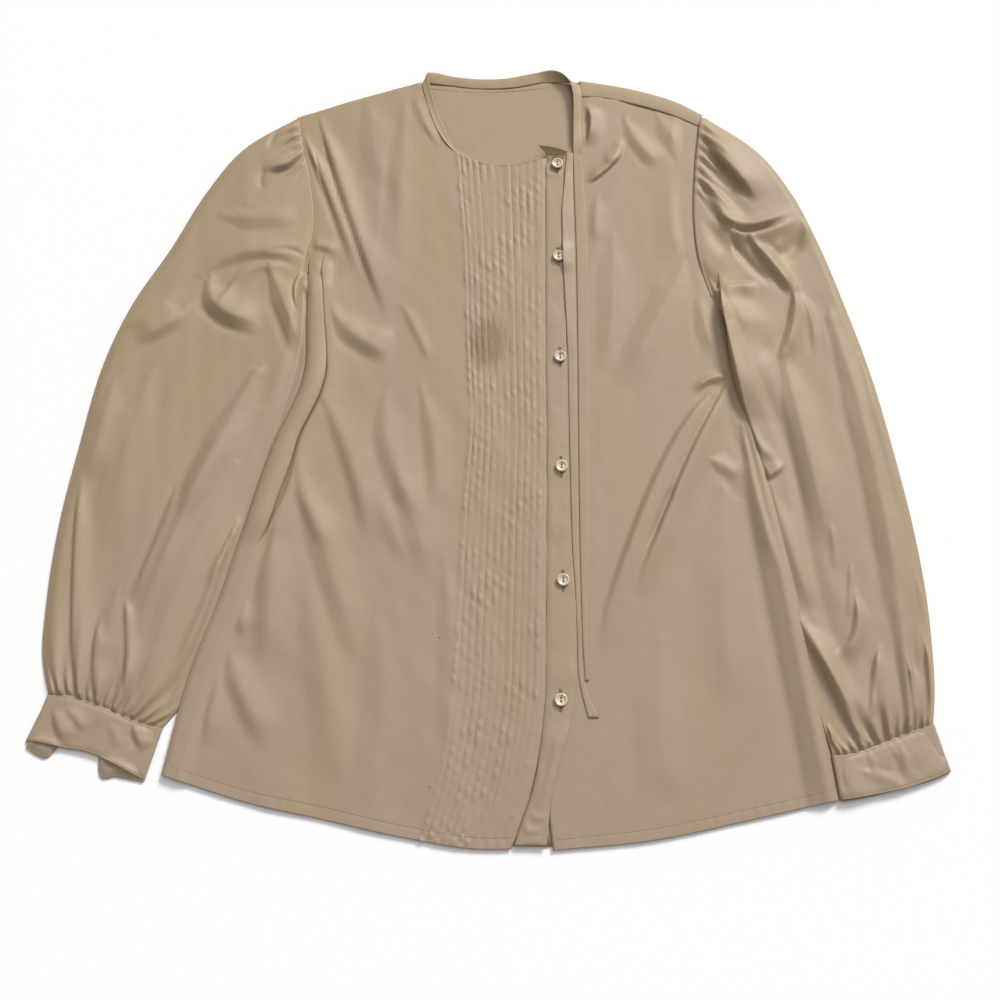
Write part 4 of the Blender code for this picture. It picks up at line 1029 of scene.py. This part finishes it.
def rolled_margin(distance, y):
    """Height of the right front's margin: it rolls over the sleeve and back down to the
    body, and a narrow gap parts it from the body there. Also gives how far the gap's
    cloth is drawn in under the roll."""
    plain = right_margin_lift(distance, y, LAYER_CLEAR)
    pleat, gap = (np.interp(y, PLEAT["y"], PLEAT[name]) for name in ("width", "gap"))
    beyond = distance - pleat
    over = OVER_Z * (1 - ramp(y, *UNCOVERED))
    tall = 1.0 + 1.6 * ramp(y, -150, -110) * (1 - ramp(y, 30, 90))
    roll = over + tall * arch(distance / pleat) ** 0.7
    body = 2.4 * hump(beyond - gap, 13)
    body = -0.9 + (body + 0.9) * ramp(beyond, 0.2, 1.0 + 1.4 * gap)
    step = 1 - ramp(beyond, -0.7, 0.3)
    there = ramp(y, -114, -84) * (1 - ramp(y, 140, 160))
    drawn_in = 1.5 * there * ramp(beyond, -0.2, 0.5) * (1 - ramp(beyond, 0.9, 4))
    return plain + there * (step * roll + (1 - step) * body - plain), drawn_in


def following_pleat(across, up):
    """Shares across the right front, moved so that the margin's points keep to its roll."""
    side = line_through(RIGHT_SIDE, up)
    width = apart(side, line_through(BUTTONHOLE_EDGE, up))
    share = np.interp(side[..., 1], PLEAT["y"], PLEAT["width"]) / width
    nominal, end = PLEAT_END / FRONT_WIDTH, MARGIN_END / FRONT_WIDTH
    outer = share + (across - nominal) * (end - share) / (end - nominal)
    return np.where(across < nominal, across / nominal * share, np.where(across < end, outer, across))


def tuck_relief(across, xy):
    """Pintucks: each a pressed fold with a steep free edge, dragged at uneven places into
    short slanting puckers."""
    settings = cloth_settings()
    place = np.clip((across - TUCK_SHARE) / (1 - TUCK_SHARE), 0, 1) * settings.tucks
    number = np.minimum(place.astype(int), settings.tucks - 1)
    within = place - number
    step = np.where(within < TUCK_EDGE, within / TUCK_EDGE, (1 - within) / (1 - TUCK_EDGE))
    heights = settings.tuck_height / MM * np.array(TUCK_HEIGHTS)
    relief = heights[number] * step - 0.8 * heights[number - 1] * hump(within, 0.13) * (number > 0)
    draw = np.random.default_rng(11)
    slanted = xy[..., 1] + 0.8 * xy[..., 0]
    shared = np.cumsum(draw.uniform(6.5, 12.0, PUCKERS)) - 470
    strength = np.clip(0.75 + 0.5 * waves(12, xy, 30, 90, 1.0), 0, 1.6)
    bulge = arch(within) ** 1.4
    for tuck in range(settings.tucks):
        own = number == tuck
        middles = shared + draw.uniform(-1.3, 1.3, PUCKERS)
        swells = draw.uniform(0.1, 1.0, PUCKERS)
        lengths = draw.uniform(2.0, 3.6, PUCKERS)
        next_one = np.clip(np.searchsorted(middles, slanted[own]), 1, PUCKERS - 1)
        puckers = np.zeros(own.sum())
        for i in (next_one - 1, next_one):
            puckers += swells[i] * hump(slanted[own] - middles[i], lengths[i])
        relief[own] += settings.pucker / MM * (puckers * strength[own] * bulge[own])
    return relief * (place > 0)


def front_right_points(across, up):
    """The upper face of the right front, with its pintucks."""
    xy = patch(RIGHT_HEM, RIGHT_TOP, RIGHT_SIDE, BUTTONHOLE_EDGE, across, up)
    x, y = np.moveaxis(xy, -1, 0)
    distance = apart(xy, line_through(RIGHT_SIDE, up))
    covered = 1 - ramp(y, 118, 150)
    start, end = 1 + covered * (OVERLAP + 7), 7 + covered * (OVERLAP + 9)
    plain = ramp(distance, start, end) * ramp(across, 1, 0.95)
    move = moved_by_folds(FRONT_RIGHT_FOLDS, xy, cloth_settings().crease_scale) * plain[..., None]
    margin, drawn_in = rolled_margin(distance, y)
    z = FRONT_TOP + margin + move[..., 2]
    move[..., 0] -= drawn_in
    z = z - 1.4 * hump(distance, 2.4) * (1 - ramp(y, 120, 150))
    z = z + (waves(5, xy, 60, 150, 0.45, -56) + waves(6, xy, 20, 50, 0.1, -60)) * plain
    z = kept_above(z, CLOTH + 0.5) + tuck_relief(across, xy) * ramp(across, 0.995, 0.975)
    z = z + 0.5 * ramp(across, 0.86, 0.97) * (1 - ramp(across, 0.98, 0.995))
    z = z + hem_relief(apart(xy, line_through(RIGHT_HEM, across)), x)
    return raised(xy + move[..., :2], z)


def front_left_points(across, up):
    """The upper face of the left front."""
    xy = patch(LEFT_HEM, LEFT_TOP, BUTTON_EDGE, LEFT_SIDE, across, up)
    x, y = np.moveaxis(xy, -1, 0)
    to_side = apart(xy, line_through(LEFT_SIDE, up))
    start, end = np.interp(y, (262, 276), (88, 85.5)), np.interp(y, (262, 276), (98, 88))
    under_sleeve = ramp(to_side, 14, 26) + ramp(y, 60, 10) * ramp(to_side, 2, 8)
    free = ramp(x, start, end) * np.clip(under_sleeve, 0, 1)
    move = moved_by_folds(FRONT_LEFT_FOLDS, xy, cloth_settings().crease_scale) * free[..., None]
    z = FRONT_TOP + move[..., 2]
    # Below the arm the side goes down and under the sleeve, out of the light.
    z = z - 0.9 * ramp(to_side, 14, 4) * ramp(y, 40, 70) * ramp(y, 150, 125)
    z = z + (waves(7, xy, 60, 150, 0.45, 60) + waves(8, xy, 20, 50, 0.1, 70)) * free
    z = kept_above(z, CLOTH + 0.5)
    z = z + hem_relief(apart(xy, line_through(LEFT_HEM, across)), x)
    return raised(xy + move[..., :2], z)


def finer_near_hem(length, cell):
    """Shares of a panel's length, closer together along its hem."""
    rest = np.linspace(14.5 / length, 1, round(length / cell))
    return np.concatenate([np.array(HEM_PLACES) / length, rest])


def fine_puckers(beside, from_wrist, from_head):
    """Little pleats right at the gathered seams, a few millimetres apart."""
    beat = np.sin(math.tau * beside / 5.6 + 1.7 * np.sin(beside / 9))
    return 0.14 * beat * (hump(from_wrist, 8) + 0.5 * hump(from_head, 6))


def sleeve_outline(arm, section, across, along):
    """Where a sleeve's points lie in the plane, drawn to the seams at both its ends."""
    outer, inner = points_of(section, "outer"), points_of(section, "inner")
    share, fade = across[..., None], along[..., None]
    xy = outer + share * (inner - outer)
    wrist_seam = points_of(smooth_columns(arm.cuff, arm.cuff["share"], across), "seam")
    for seam, row, there in (
        (line_through(arm.armhole, across), 0, 1 - ramp(fade, 0, 0.3)),
        (wrist_seam, -1, ramp(fade, 0.85, 1)),
    ):
        first, last = (points_of(arm.rows, line)[row] for line in ("outer", "inner"))
        xy = xy + (seam - (first + share * (last - first))) * there
    xy = xy + np.array((arm.tucked_in, 0.0)) * (1 - ramp(fade, 0, 0.004))
    return xy + np.array((0.0, -1.6)) * ramp(fade, 0.995, 1)


def sleeve_gathers(arm, along, to_outer, to_inner, width):
    """Height of the gathers and the little pleats at both ends of a sleeve."""
    from_wrist, from_head = (1 - along) * SLEEVE_LENGTH, along * SLEEVE_LENGTH
    relief = gathered(arm.wrist, to_outer, from_wrist, width)
    relief = relief + gathered(arm.head, to_outer, from_head, width)
    relief = relief + fine_puckers(to_outer, from_wrist, from_head)
    return relief * ramp(to_outer, 0, 5) * ramp(to_inner, 0, 5)


def sleeve_points(arm, across, along, upper):
    """Points of a sleeve's upper or under layer, at shares across and along."""
    section = smooth_columns(arm.rows, arm.rows["share"], along)
    xy = sleeve_outline(arm, section, across, along)
    width = apart(points_of(section, "inner"), points_of(section, "outer"))
    to_inner, to_outer = width * (1 - across), width * across
    lift = 0.0
    if arm.lifted:
        over = 1 - ramp(to_inner, arm.overlap, arm.overlap + SLOPE)
        lift = OVER_Z * over * ramp(along, 0, 0.055)
    roundness = turned_edge(np.minimum(to_inner, to_outer) / EDGE_ROLL)
    low, middle = lift + 0.4, lift + FRONT_TOP / 2
    if not upper:
        return raised(xy, middle + (low - middle) * roundness)
    ends_closed = ramp(along, 0, 0.05) * ramp(along, 1, 0.97)
    crown = section["crown"] * ramp(to_outer, 0, 9) * ramp(to_inner, arm.overlap, arm.crown_in)
    free = ramp(to_outer, 0, 5)
    if not arm.lifted:
        uncovered = ramp(to_inner, arm.overlap - 1, arm.overlap + 4)
        free = free * np.maximum(uncovered, ramp(along, 0.2, 0.12))
    free = free * ramp(to_inner, 0, arm.free_in)
    move = moved_by_folds(arm.folds, xy, cloth_settings().crease_scale) * free[..., None]
    move = move * (0.25 + 0.75 * ends_closed[..., None])
    relief = sleeve_gathers(arm, along, to_outer, to_inner, width)
    even = waves(arm.seed, xy, 50, 130, 0.6, arm.grain) + waves(arm.seed + 1, xy, 16, 40, 0.12, arm.grain)
    if not arm.lifted:
        crevice = hump(to_inner - arm.overlap - 0.6, 2.4)
        relief = relief - 2.4 * crevice * ramp(along, 0.22, 0.3) * ramp(along, 0.85, 0.7)
    z = lift + FRONT_TOP + crown + move[..., 2] + relief + even * free * ends_closed
    z = kept_above(z, lift + 1.4)
    z = middle + (z - middle) * roundness
    z = z - 0.18 * (1 - ramp(along, 0, 0.003)) - 0.9 * ramp(along, 0.994, 1)
    return raised(xy + move[..., :2], z)


def sleeve_grids(arm):
    """Both layers of a sleeve as grids, with their places along the grain."""
    cell = cloth_settings().cell / MM
    middle = steps(0.0075, 0.988, cell / SLEEVE_LENGTH)
    rows = np.concatenate([[0, 0.002, 0.0045], middle, [0.991, 0.9945, 0.997, 1]])
    close = np.array([0, 0.15, 0.5, 1.2, 2.2, 3.4]) / SLEEVE_WIDTH
    grids = []
    for upper, inside in (
        (True, steps(0.032, 0.968, cell / SLEEVE_WIDTH)),
        (False, steps(0.05, 0.95, 0.08)),
    ):
        across, along = np.meshgrid(np.concatenate([close, inside, 1 - close[::-1]]), rows)
        places = in_weave("sleeve", across, along)
        grids.append((sleeve_points(arm, across, along, upper), places))
    return grids


def cuff_points(arm, across, down, upper=True):
    """Points of a cuff's upper or under layer, from its seam to its hem."""
    part = smooth_columns(arm.cuff, arm.cuff["share"], across)
    seam, hem = points_of(part, "seam"), points_of(part, "upper" if upper else "under")
    xy = seam + down[..., None] * (hem - seam)
    lift = OVER_Z * ramp(across, 0.62, 0.85) if arm.lifted else 0.0
    ease = arch(across) ** 0.5
    roundness = turned_edge(np.minimum(across, 1 - across) * CUFF_WIDTH / 2.5)
    middle = lift + FRONT_TOP / 2
    if not upper:
        # It slopes down to the surface beyond the upper layer's hem.
        under = lift + 0.4 + 1.8 * (1 - ramp(down, 0.84, 1))
        return raised(xy, middle + (under - middle) * roundness)
    from_seam = down * CUFF_DEPTH
    top = lift + FRONT_TOP + 1.6 * ease + waves(arm.cuff_seed, xy, 18, 50, 0.35)
    top = top + waves(arm.cuff_seed + 1, xy, 7, 14, 0.06)
    drawn = 0.15 * np.sin(math.tau * across * CUFF_WIDTH / 6.3) * hump(from_seam, 5)
    top = top + drawn - 0.2 * hump(from_seam - 33.5, 1.0) + (1.6 * ease * down if arm.lifted else 0.0)
    top = top - 0.5 * ramp(down, 0.93, 1) - 1.2 * ease * (1 - ramp(from_seam, 0, 4))
    move = moved_by_folds(arm.cuff_folds, xy) * ramp(down, 0, 0.12)[..., None]
    top = middle + (top + move[..., 2] - middle) * roundness
    return raised(xy + move[..., :2] * roundness[..., None], top)


def cuff_grids(arm):
    """Both layers of a cuff as grids, with their places along the grain."""
    close = np.array([0, 0.2, 0.6, 1.3, 2.2]) / CUFF_WIDTH
    places = np.concatenate([close, steps(0.03, 0.97, 1.6 / CUFF_WIDTH), 1 - close[::-1]])
    middle = steps(0.06, 0.9, 1.8 / CUFF_DEPTH)
    across, down = np.meshgrid(
        places, np.concatenate([[0, 0.015, 0.035], middle, [0.92, 0.94, 0.96, 0.98, 1]])
    )
    weave = in_weave("cuff", across, down)
    return [(cuff_points(arm, across, down, upper), weave) for upper in (True, False)]


def band_points(across, y):
    """The upper face of the buttonhole band."""
    part = smooth_columns(BAND, BAND["y"], y)
    width = part["right"] - part["left"]
    xy = np.stack([part["left"] + across * width, y], axis=-1)
    edge = np.minimum(across, 1 - across) * width
    z = OVER_Z + 0.75 - 0.2 * hump(edge, 0.9) - 0.5 * (1 - ramp(across, 0, 0.12))
    z = z - 0.12 * hump(edge - 2.0, 0.8)
    z = z + waves(51, xy, 18, 60, 0.22) + waves(52, xy, 8, 16, 0.05)
    z = z + 1.0 * across * ramp(y, -225, -290)
    move = moved_by_folds(BAND_FOLDS, xy)
    return raised(xy + move[..., :2], z + move[..., 2])


def tie_points(rows, seed, across, y):
    """The upper face of a tie: a folded strip, rounded at its edges."""
    part = {name: np.interp(y, rows["y"][::-1], rows[name][::-1]) for name in rows}
    wobble = waves(seed, np.stack([0 * y, y], axis=-1), 40, 120, 0.35)
    width = part["right"] - part["left"]
    x = part["left"] + across * width + wobble * arch(across)
    under = part["left_z"] + across * (part["right_z"] - part["left_z"])
    edge = np.minimum(across, 1 - across) * width
    dome = 0.3 * (1 - np.clip(1 - edge, 0, 1) ** 2)
    xy = np.stack([x, y], axis=-1)
    z = under + 0.25 + dome - 0.12 * hump(across - 0.86, 0.06) + waves(seed + 1, xy, 24, 80, 0.12)
    return raised(xy, z)


def neck_band_points(across, station):
    """The neck band's surface from its seam, at 0, to its free edge, at 1."""
    count = np.arange(len(NECK_BAND["seam_x"]), dtype=float)
    part = smooth_columns(NECK_BAND, count, station)
    seam, free = (points_of(part, line, "xyz") for line in ("seam", "free"))
    rise = free - seam
    along = np.stack([np.gradient(((seam + free) / 2)[..., i], axis=0) for i in range(3)], axis=-1)
    normal = np.cross(rise, along)
    normal /= np.linalg.norm(normal, axis=-1, keepdims=True)
    puff = 0.3 * arch(across) + waves(61, seam[..., :2], 14, 40, 0.14)
    return seam + across[..., None] * rise - puff[..., None] * normal


def even_line(points, step):
    """A line of points again, evenly spaced."""
    along = np.concatenate([[0], np.cumsum(np.linalg.norm(np.diff(points, axis=0), axis=1))])
    places = np.linspace(0, along[-1], max(2, round(along[-1] / step) + 1))
    return np.column_stack([np.interp(places, along, points[:, i]) for i in range(3)])


def rod(mesh, middle, radius, depth, segments, turn=None):
    """Adds a short straight rod to a bmesh."""
    matrix = Matrix.Translation(middle)
    if turn is not None:
        matrix = matrix @ turn.to_track_quat("Z", "Y").to_matrix().to_4x4()
    bmesh.ops.create_cone(
        mesh, cap_ends=True, segments=segments, radius1=radius, radius2=radius, depth=depth, matrix=matrix
    )


def sewn(name, lines):
    """Short straight threads between pairs of points, as one piece."""
    mesh = bmesh.new()
    radius = cloth_settings().thread / 2
    for start, end in lines:
        run = end - start
        rod(mesh, (start + end) / 2, radius, run.length + radius, 5, run)
    finished(name, mesh, thread())


def stitched(name, lines):
    """Machine stitches along lines of points in mm, as one piece."""
    settings = cloth_settings()
    lift = Vector((0, 0, 0.3 * settings.thread))
    ends = []
    for line in lines:
        places = even_line(line, settings.stitch / MM) * MM
        for start, end in zip(places, places[1:]):
            gap = Vector(end - start) * 0.14
            ends.append((Vector(start) + gap + lift, Vector(end) - gap + lift))
    sewn(name, ends)


def turned_button(foot):
    """A button turned from shell: a raised rim round a dished middle."""
    mesh = bmesh.new()
    verts = [mesh.verts.new(foot + Vector((r, 0, z)) * MM) for r, z in zip(*BUTTON_PROFILE.values())]
    edges = [mesh.edges.new(pair) for pair in zip(verts, verts[1:])]
    bmesh.ops.spin(
        mesh, geom=verts + edges, cent=foot, axis=(0, 0, 1), angle=math.tau, steps=48, use_merge=True
    )
    bmesh.ops.remove_doubles(mesh, verts=mesh.verts, dist=1e-6)
    bmesh.ops.recalc_face_normals(mesh, faces=mesh.faces)
    return mesh


def drill(piece, foot):
    """Cuts the button's holes, and bakes the cut into its mesh."""
    mesh = bmesh.new()
    for side in (-1, 1):
        place = foot + Vector((0, side * BUTTON_HOLE * MM, 0))
        rod(mesh, place, HOLE_RADIUS * MM, 12 * MM, 20)
    data = bpy.data.meshes.new("drill")
    mesh.to_mesh(data)
    mesh.free()
    bit = bpy.data.objects.new("drill", data)
    bpy.context.scene.collection.objects.link(bit)
    cut = piece.modifiers.new("holes", "BOOLEAN")
    cut.object, cut.operation, cut.solver = bit, "DIFFERENCE", "EXACT"
    graph = bpy.context.evaluated_depsgraph_get()
    result = bpy.data.meshes.new_from_object(piece.evaluated_get(graph))
    piece.modifiers.remove(cut)
    blank, piece.data = piece.data, result
    bpy.data.objects.remove(bit)
    bpy.data.meshes.remove(data)
    bpy.data.meshes.remove(blank)


def button_thread(foot):
    """Strands from hole to hole over the middle of a button."""
    top = foot + Vector((0, 0, BUTTON_TOP * MM))
    reach = Vector((0, BUTTON_HOLE * MM, 0))
    sink = Vector((0, 0, -1.3 * MM))
    lines = []
    for side in (-0.2, 0.2):
        beside = Vector((side * MM, 0, 0))
        start, end = top + beside - reach, top + beside + reach
        lines += [(start, end), (start + sink - reach * 0.1, start), (end, end + sink + reach * 0.1)]
    return lines


def buttonhole_stitches(foot):
    """Close stitches down both sides of an upright buttonhole, barred at its ends."""
    lines = []
    level = foot.z - 0.12 * MM
    for side in (-1, 1):
        for y in np.arange(-BUTTONHOLE_HALF, BUTTONHOLE_HALF, 0.55):
            inner = Vector((foot.x + side * 0.15 * MM, foot.y + y * MM, level))
            lines.append((inner, inner + Vector((side * 0.95 * MM, 0.1 * MM, -0.04 * MM))))
    across = Vector((1.1 * MM, 0, 0))
    for end in (-1, 1):
        for step in (0.0, 0.3):
            middle = Vector((foot.x, foot.y + end * (BUTTONHOLE_HALF + step) * MM, level))
            lines.append((middle - across, middle + across))
    return lines


def lay_floor(scene, stage):
    """A wide sheet of matt white paper just below the blouse."""
    mesh = bmesh.new()
    bmesh.ops.create_grid(mesh, x_segments=2, y_segments=2, size=4.0)
    data = bpy.data.meshes.new("floor")
    mesh.to_mesh(data)
    mesh.free()
    floor = bpy.data.objects.new("floor", data)
    floor.location.z = CAD_BOX[0].z - 0.0003
    material, tree, shader = new_material("matt white paper", Roughness=0.9)
    place = add(tree, "TexCoord", "Object")
    fibres = add(tree, "TexNoise", "Fac", {"Vector": place, "Scale": 300.0})
    whites = {FACTOR: fibres, COLOUR_A: (*stage.floor, 1), COLOUR_B: linear("fbfbfb", True)}
    white = add(tree, "Mix", MIXED, whites, data_type="RGBA")
    tree.links.new(white, shader.inputs["Base Color"])
    data.materials.append(material)
    scene.collection.objects.link(floor)


def set_lights(scene, stage):
    """Even light all round, a window beyond the neck and a ceiling light."""
    world = bpy.data.worlds.new("even light")
    world.use_nodes = True
    sky = world.node_tree.nodes["Background"]
    sky.inputs["Color"].default_value = linear("fbfbff", True)
    sky.inputs["Strength"].default_value = stage.sky
    scene.world = world
    for name, power, colour, place, spread in (
        ("window light", stage.key, "fffefa", (0.70, 1.12, 0.86), 18),
        ("ceiling light", stage.fill, "ffffff", (0.1, 0.42, 1.0), 40),
    ):
        lamp = bpy.data.lights.new(name, "SUN")
        lamp.energy, lamp.angle, lamp.color = power, math.radians(spread), linear(colour)
        holder = bpy.data.objects.new(name, lamp)
        holder.location = place
        holder.rotation_euler = (-Vector(place)).to_track_quat("-Z", "Y").to_euler()
        scene.collection.objects.link(holder)


def set_camera(scene, stage):
    """The camera over the blouse, leaning back towards the hem."""
    lens = bpy.data.cameras.new("camera")
    lens.lens = stage.lens
    camera = bpy.data.objects.new("camera", lens)
    aim = Vector((*(CAD_BOX[0] + CAD_BOX[1]).xy / 2, 0)) + Vector(AIM) * MM
    lean = Vector((0, -math.sin(stage.tilt), math.cos(stage.tilt)))
    camera.location = aim + stage.distance * lean
    camera.rotation_euler = (stage.tilt, 0, 0)
    scene.collection.objects.link(camera)
    scene.camera = camera


class BLOUSE_OT_back(bpy.types.Operator):
    """Make the back, which turns over the left shoulder to the front"""

    bl_idname = "blouse.back"
    bl_label = "Back"

    def execute(self, context):
        turned = np.linspace(0.68, 1, 31)
        across, up = np.meshgrid(
            np.concatenate([[0, 0.006], steps(0.02, 0.26, 0.016), steps(0.27, 0.67, 0.009), turned]),
            np.concatenate([steps(0, 0.8, 0.014), steps(0.805, 1, 0.0055)]),
        )
        slab = back_points(across, up)
        strip = shoulder_strip(slab[-1, -len(turned) :])
        places = in_weave("back", across, up)
        strip_places = np.broadcast_to(places[-1:, -len(turned) :], strip.shape[:2] + (2,)).copy()
        strip_places[..., 1] += np.linspace(0, 18, len(strip))[:, None]
        shell("back", [(slab, places), (strip, strip_places)], satin("satin charmeuse"))
        return {"FINISHED"}


class BLOUSE_OT_fronts(bpy.types.Operator):
    """Make both fronts and the buttonhole band"""

    bl_idname = "blouse.fronts"
    bl_label = "Fronts"

    def execute(self, context):
        settings = cloth_settings()
        pitch = (1 - TUCK_SHARE) / settings.tucks
        across, up = np.meshgrid(
            np.concatenate([
                np.array(MARGIN_PLACES) / FRONT_WIDTH,
                steps(32.4 / FRONT_WIDTH, TUCK_SHARE - 0.01, 2.8 / FRONT_WIDTH),
                *(TUCK_SHARE + pitch * (i + np.array(TUCK_PLACES)) for i in range(settings.tucks)),
                [0.9985],
            ]),
            finer_near_hem(FRONT_LENGTH, 2.55),
        )
        across = following_pleat(across, up)
        stained = satin("stained satin charmeuse", True)
        panel("front_right", front_right_points, across, up, stained)

        cell = settings.cell / MM
        across, up = np.meshgrid(steps(0, 1, cell / LEFT_WIDTH), finer_near_hem(LEFT_LENGTH, cell))
        plain = satin("satin charmeuse")
        panel("front_left", front_left_points, across, up, plain)

        across, y = np.meshgrid(
            [0, 0.02, 0.05, 0.09, 0.15, *np.linspace(0.22, 0.78, 8), 0.85, 0.91, 0.95, 0.98, 1],
            steps(-347, 250, 2.2),
        )
        panel("front_band", band_points, across, y, doubled_satin(), 2)
        return {"FINISHED"}


class BLOUSE_OT_sleeves(bpy.types.Operator):
    """Make the sleeves, gathered at the shoulder and the wrist, and their cuffs"""

    bl_idname = "blouse.sleeves"
    bl_label = "Sleeves and cuffs"

    def execute(self, context):
        for side, arm in ARMS.items():
            shell(f"sleeve_{side}", sleeve_grids(arm), satin("satin charmeuse"))
        for side, arm in ARMS.items():
            shell(f"cuff_{side}", cuff_grids(arm), doubled_satin(), 2)
        return {"FINISHED"}


class BLOUSE_OT_neck(bpy.types.Operator):
    """Make the neck band and its two ties"""

    bl_idname = "blouse.neck"
    bl_label = "Neck band and ties"

    def execute(self, context):
        last = len(NECK_BAND["seam_x"]) - 1
        across, station = np.meshgrid(np.linspace(0, 1, 9), np.linspace(0, last, 8 * last + 1))
        panel("neck_band", neck_band_points, across, station, doubled_satin(), 1.5, 0.0)
        for name, rows, seed in (("tie_right", LONG_TIE, 71), ("tie_left", SHORT_TIE, 75)):
            across, y = np.meshgrid(
                [0, 0.06, 0.14, 0.24, 0.3, 0.36, 0.42, 0.5, 0.62, 0.74, 0.84, 0.93, 1],
                steps(rows["y"][-1], rows["y"][0], 2.0),
            )
            grid = tie_points(rows, seed, across, y), in_weave("tie", across, y)
            shell(name, [grid], doubled_satin(), 1.5)
        return {"FINISHED"}


class BLOUSE_OT_fastening(bpy.types.Operator):
    """Make the buttons with their thread, and the buttonholes round them"""

    bl_idname = "blouse.fastening"
    bl_label = "Buttons and buttonholes"

    def execute(self, context):
        lines = []
        for number in range(1, BUTTONS + 1):
            node = f"button_{number}"
            low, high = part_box(node)
            middle = (low + high) / 2
            foot = Vector((middle.x, middle.y, low.z))
            piece = finished(f"{node}_shell", turned_button(foot), pearl_shell(), node)
            drill(piece, foot)
            lines += button_thread(foot) + buttonhole_stitches(foot)
        sewn("threads_buttons", lines)
        return {"FINISHED"}


class BLOUSE_OT_stitching(bpy.types.Operator):
    """Sew the neckline, the hems and the cuffs"""

    bl_idname = "blouse.stitching"
    bl_label = "Stitching"

    def execute(self, context):
        up = np.full(200, HEM_DEPTH)
        right_hem = front_right_points(np.linspace(0.02, 0.995, 200), up / FRONT_LENGTH)
        left_hem = front_left_points(np.linspace(0.01, 0.98, 200), up / LEFT_LENGTH)
        stitched("stitches_hem", [right_hem, left_hem])
        neck = front_right_points(np.linspace(0.56, 0.99, 120), np.full(120, 1 - 1.4 / 560))
        label = raised(np.array(LABEL_STITCHES, float), CLOTH)
        seam = neck_band_points(np.full(60, 0.1), np.linspace(15.2, 22.6, 60))
        stitched("stitches_neck", [neck, label, seam])
        across = np.linspace(0.03, 0.97, 90)
        rows = [(arm, np.full(90, down)) for arm in ARMS.values() for down in (0.05, 0.93)]
        stitched("stitches_cuffs", [cuff_points(arm, across, down) for arm, down in rows])
        return {"FINISHED"}


class BLOUSE_OT_stage(bpy.types.Operator):
    """Set the floor, the lights and the camera"""

    bl_idname = "blouse.stage"
    bl_label = "Stage"

    def execute(self, context):
        scene, stage = context.scene, context.scene.blouse_stage
        scene.view_settings.view_transform = "Standard"
        lay_floor(scene, stage)
        set_lights(scene, stage)
        set_camera(scene, stage)
        return {"FINISHED"}


class BLOUSE_PT_panel(bpy.types.Panel):
    """The blouse's pieces and settings"""

    bl_idname = "BLOUSE_PT_panel"
    bl_label = "Satin blouse"
    bl_space_type = "VIEW_3D"
    bl_region_type = "UI"
    bl_category = "Blouse"

    def draw(self, context):
        for operator in OPERATORS:
            self.layout.operator(operator.bl_idname)
        for group in PROPERTIES:
            box = self.layout.box()
            settings = getattr(context.scene, group)
            for name in settings.__annotations__:
                box.prop(settings, name)


PROPERTIES = {
    "blouse_cloth": BlouseCloth,
    "blouse_colours": BlouseColours,
    "blouse_stage": BlouseStage,
}
OPERATORS = (
    BLOUSE_OT_back,
    BLOUSE_OT_fronts,
    BLOUSE_OT_sleeves,
    BLOUSE_OT_neck,
    BLOUSE_OT_fastening,
    BLOUSE_OT_stitching,
    BLOUSE_OT_stage,
)
CLASSES = (*PROPERTIES.values(), *OPERATORS, BLOUSE_PT_panel)


def register():
    """Makes the settings, the operators and the panel known to Blender."""
    for cls in CLASSES:
        bpy.utils.register_class(cls)
    for name, group in PROPERTIES.items():
        setattr(bpy.types.Scene, name, PointerProperty(type=group))


def unregister():
    """Takes them out again."""
    for name in PROPERTIES:
        delattr(bpy.types.Scene, name)
    for cls in reversed(CLASSES):
        bpy.utils.unregister_class(cls)


def main():
    """Makes every piece and the stage."""
    register()
    for operator in OPERATORS:
        category, name = operator.bl_idname.split(".")
        getattr(getattr(bpy.ops, category), name)()


if __name__ == "__main__":
    main()
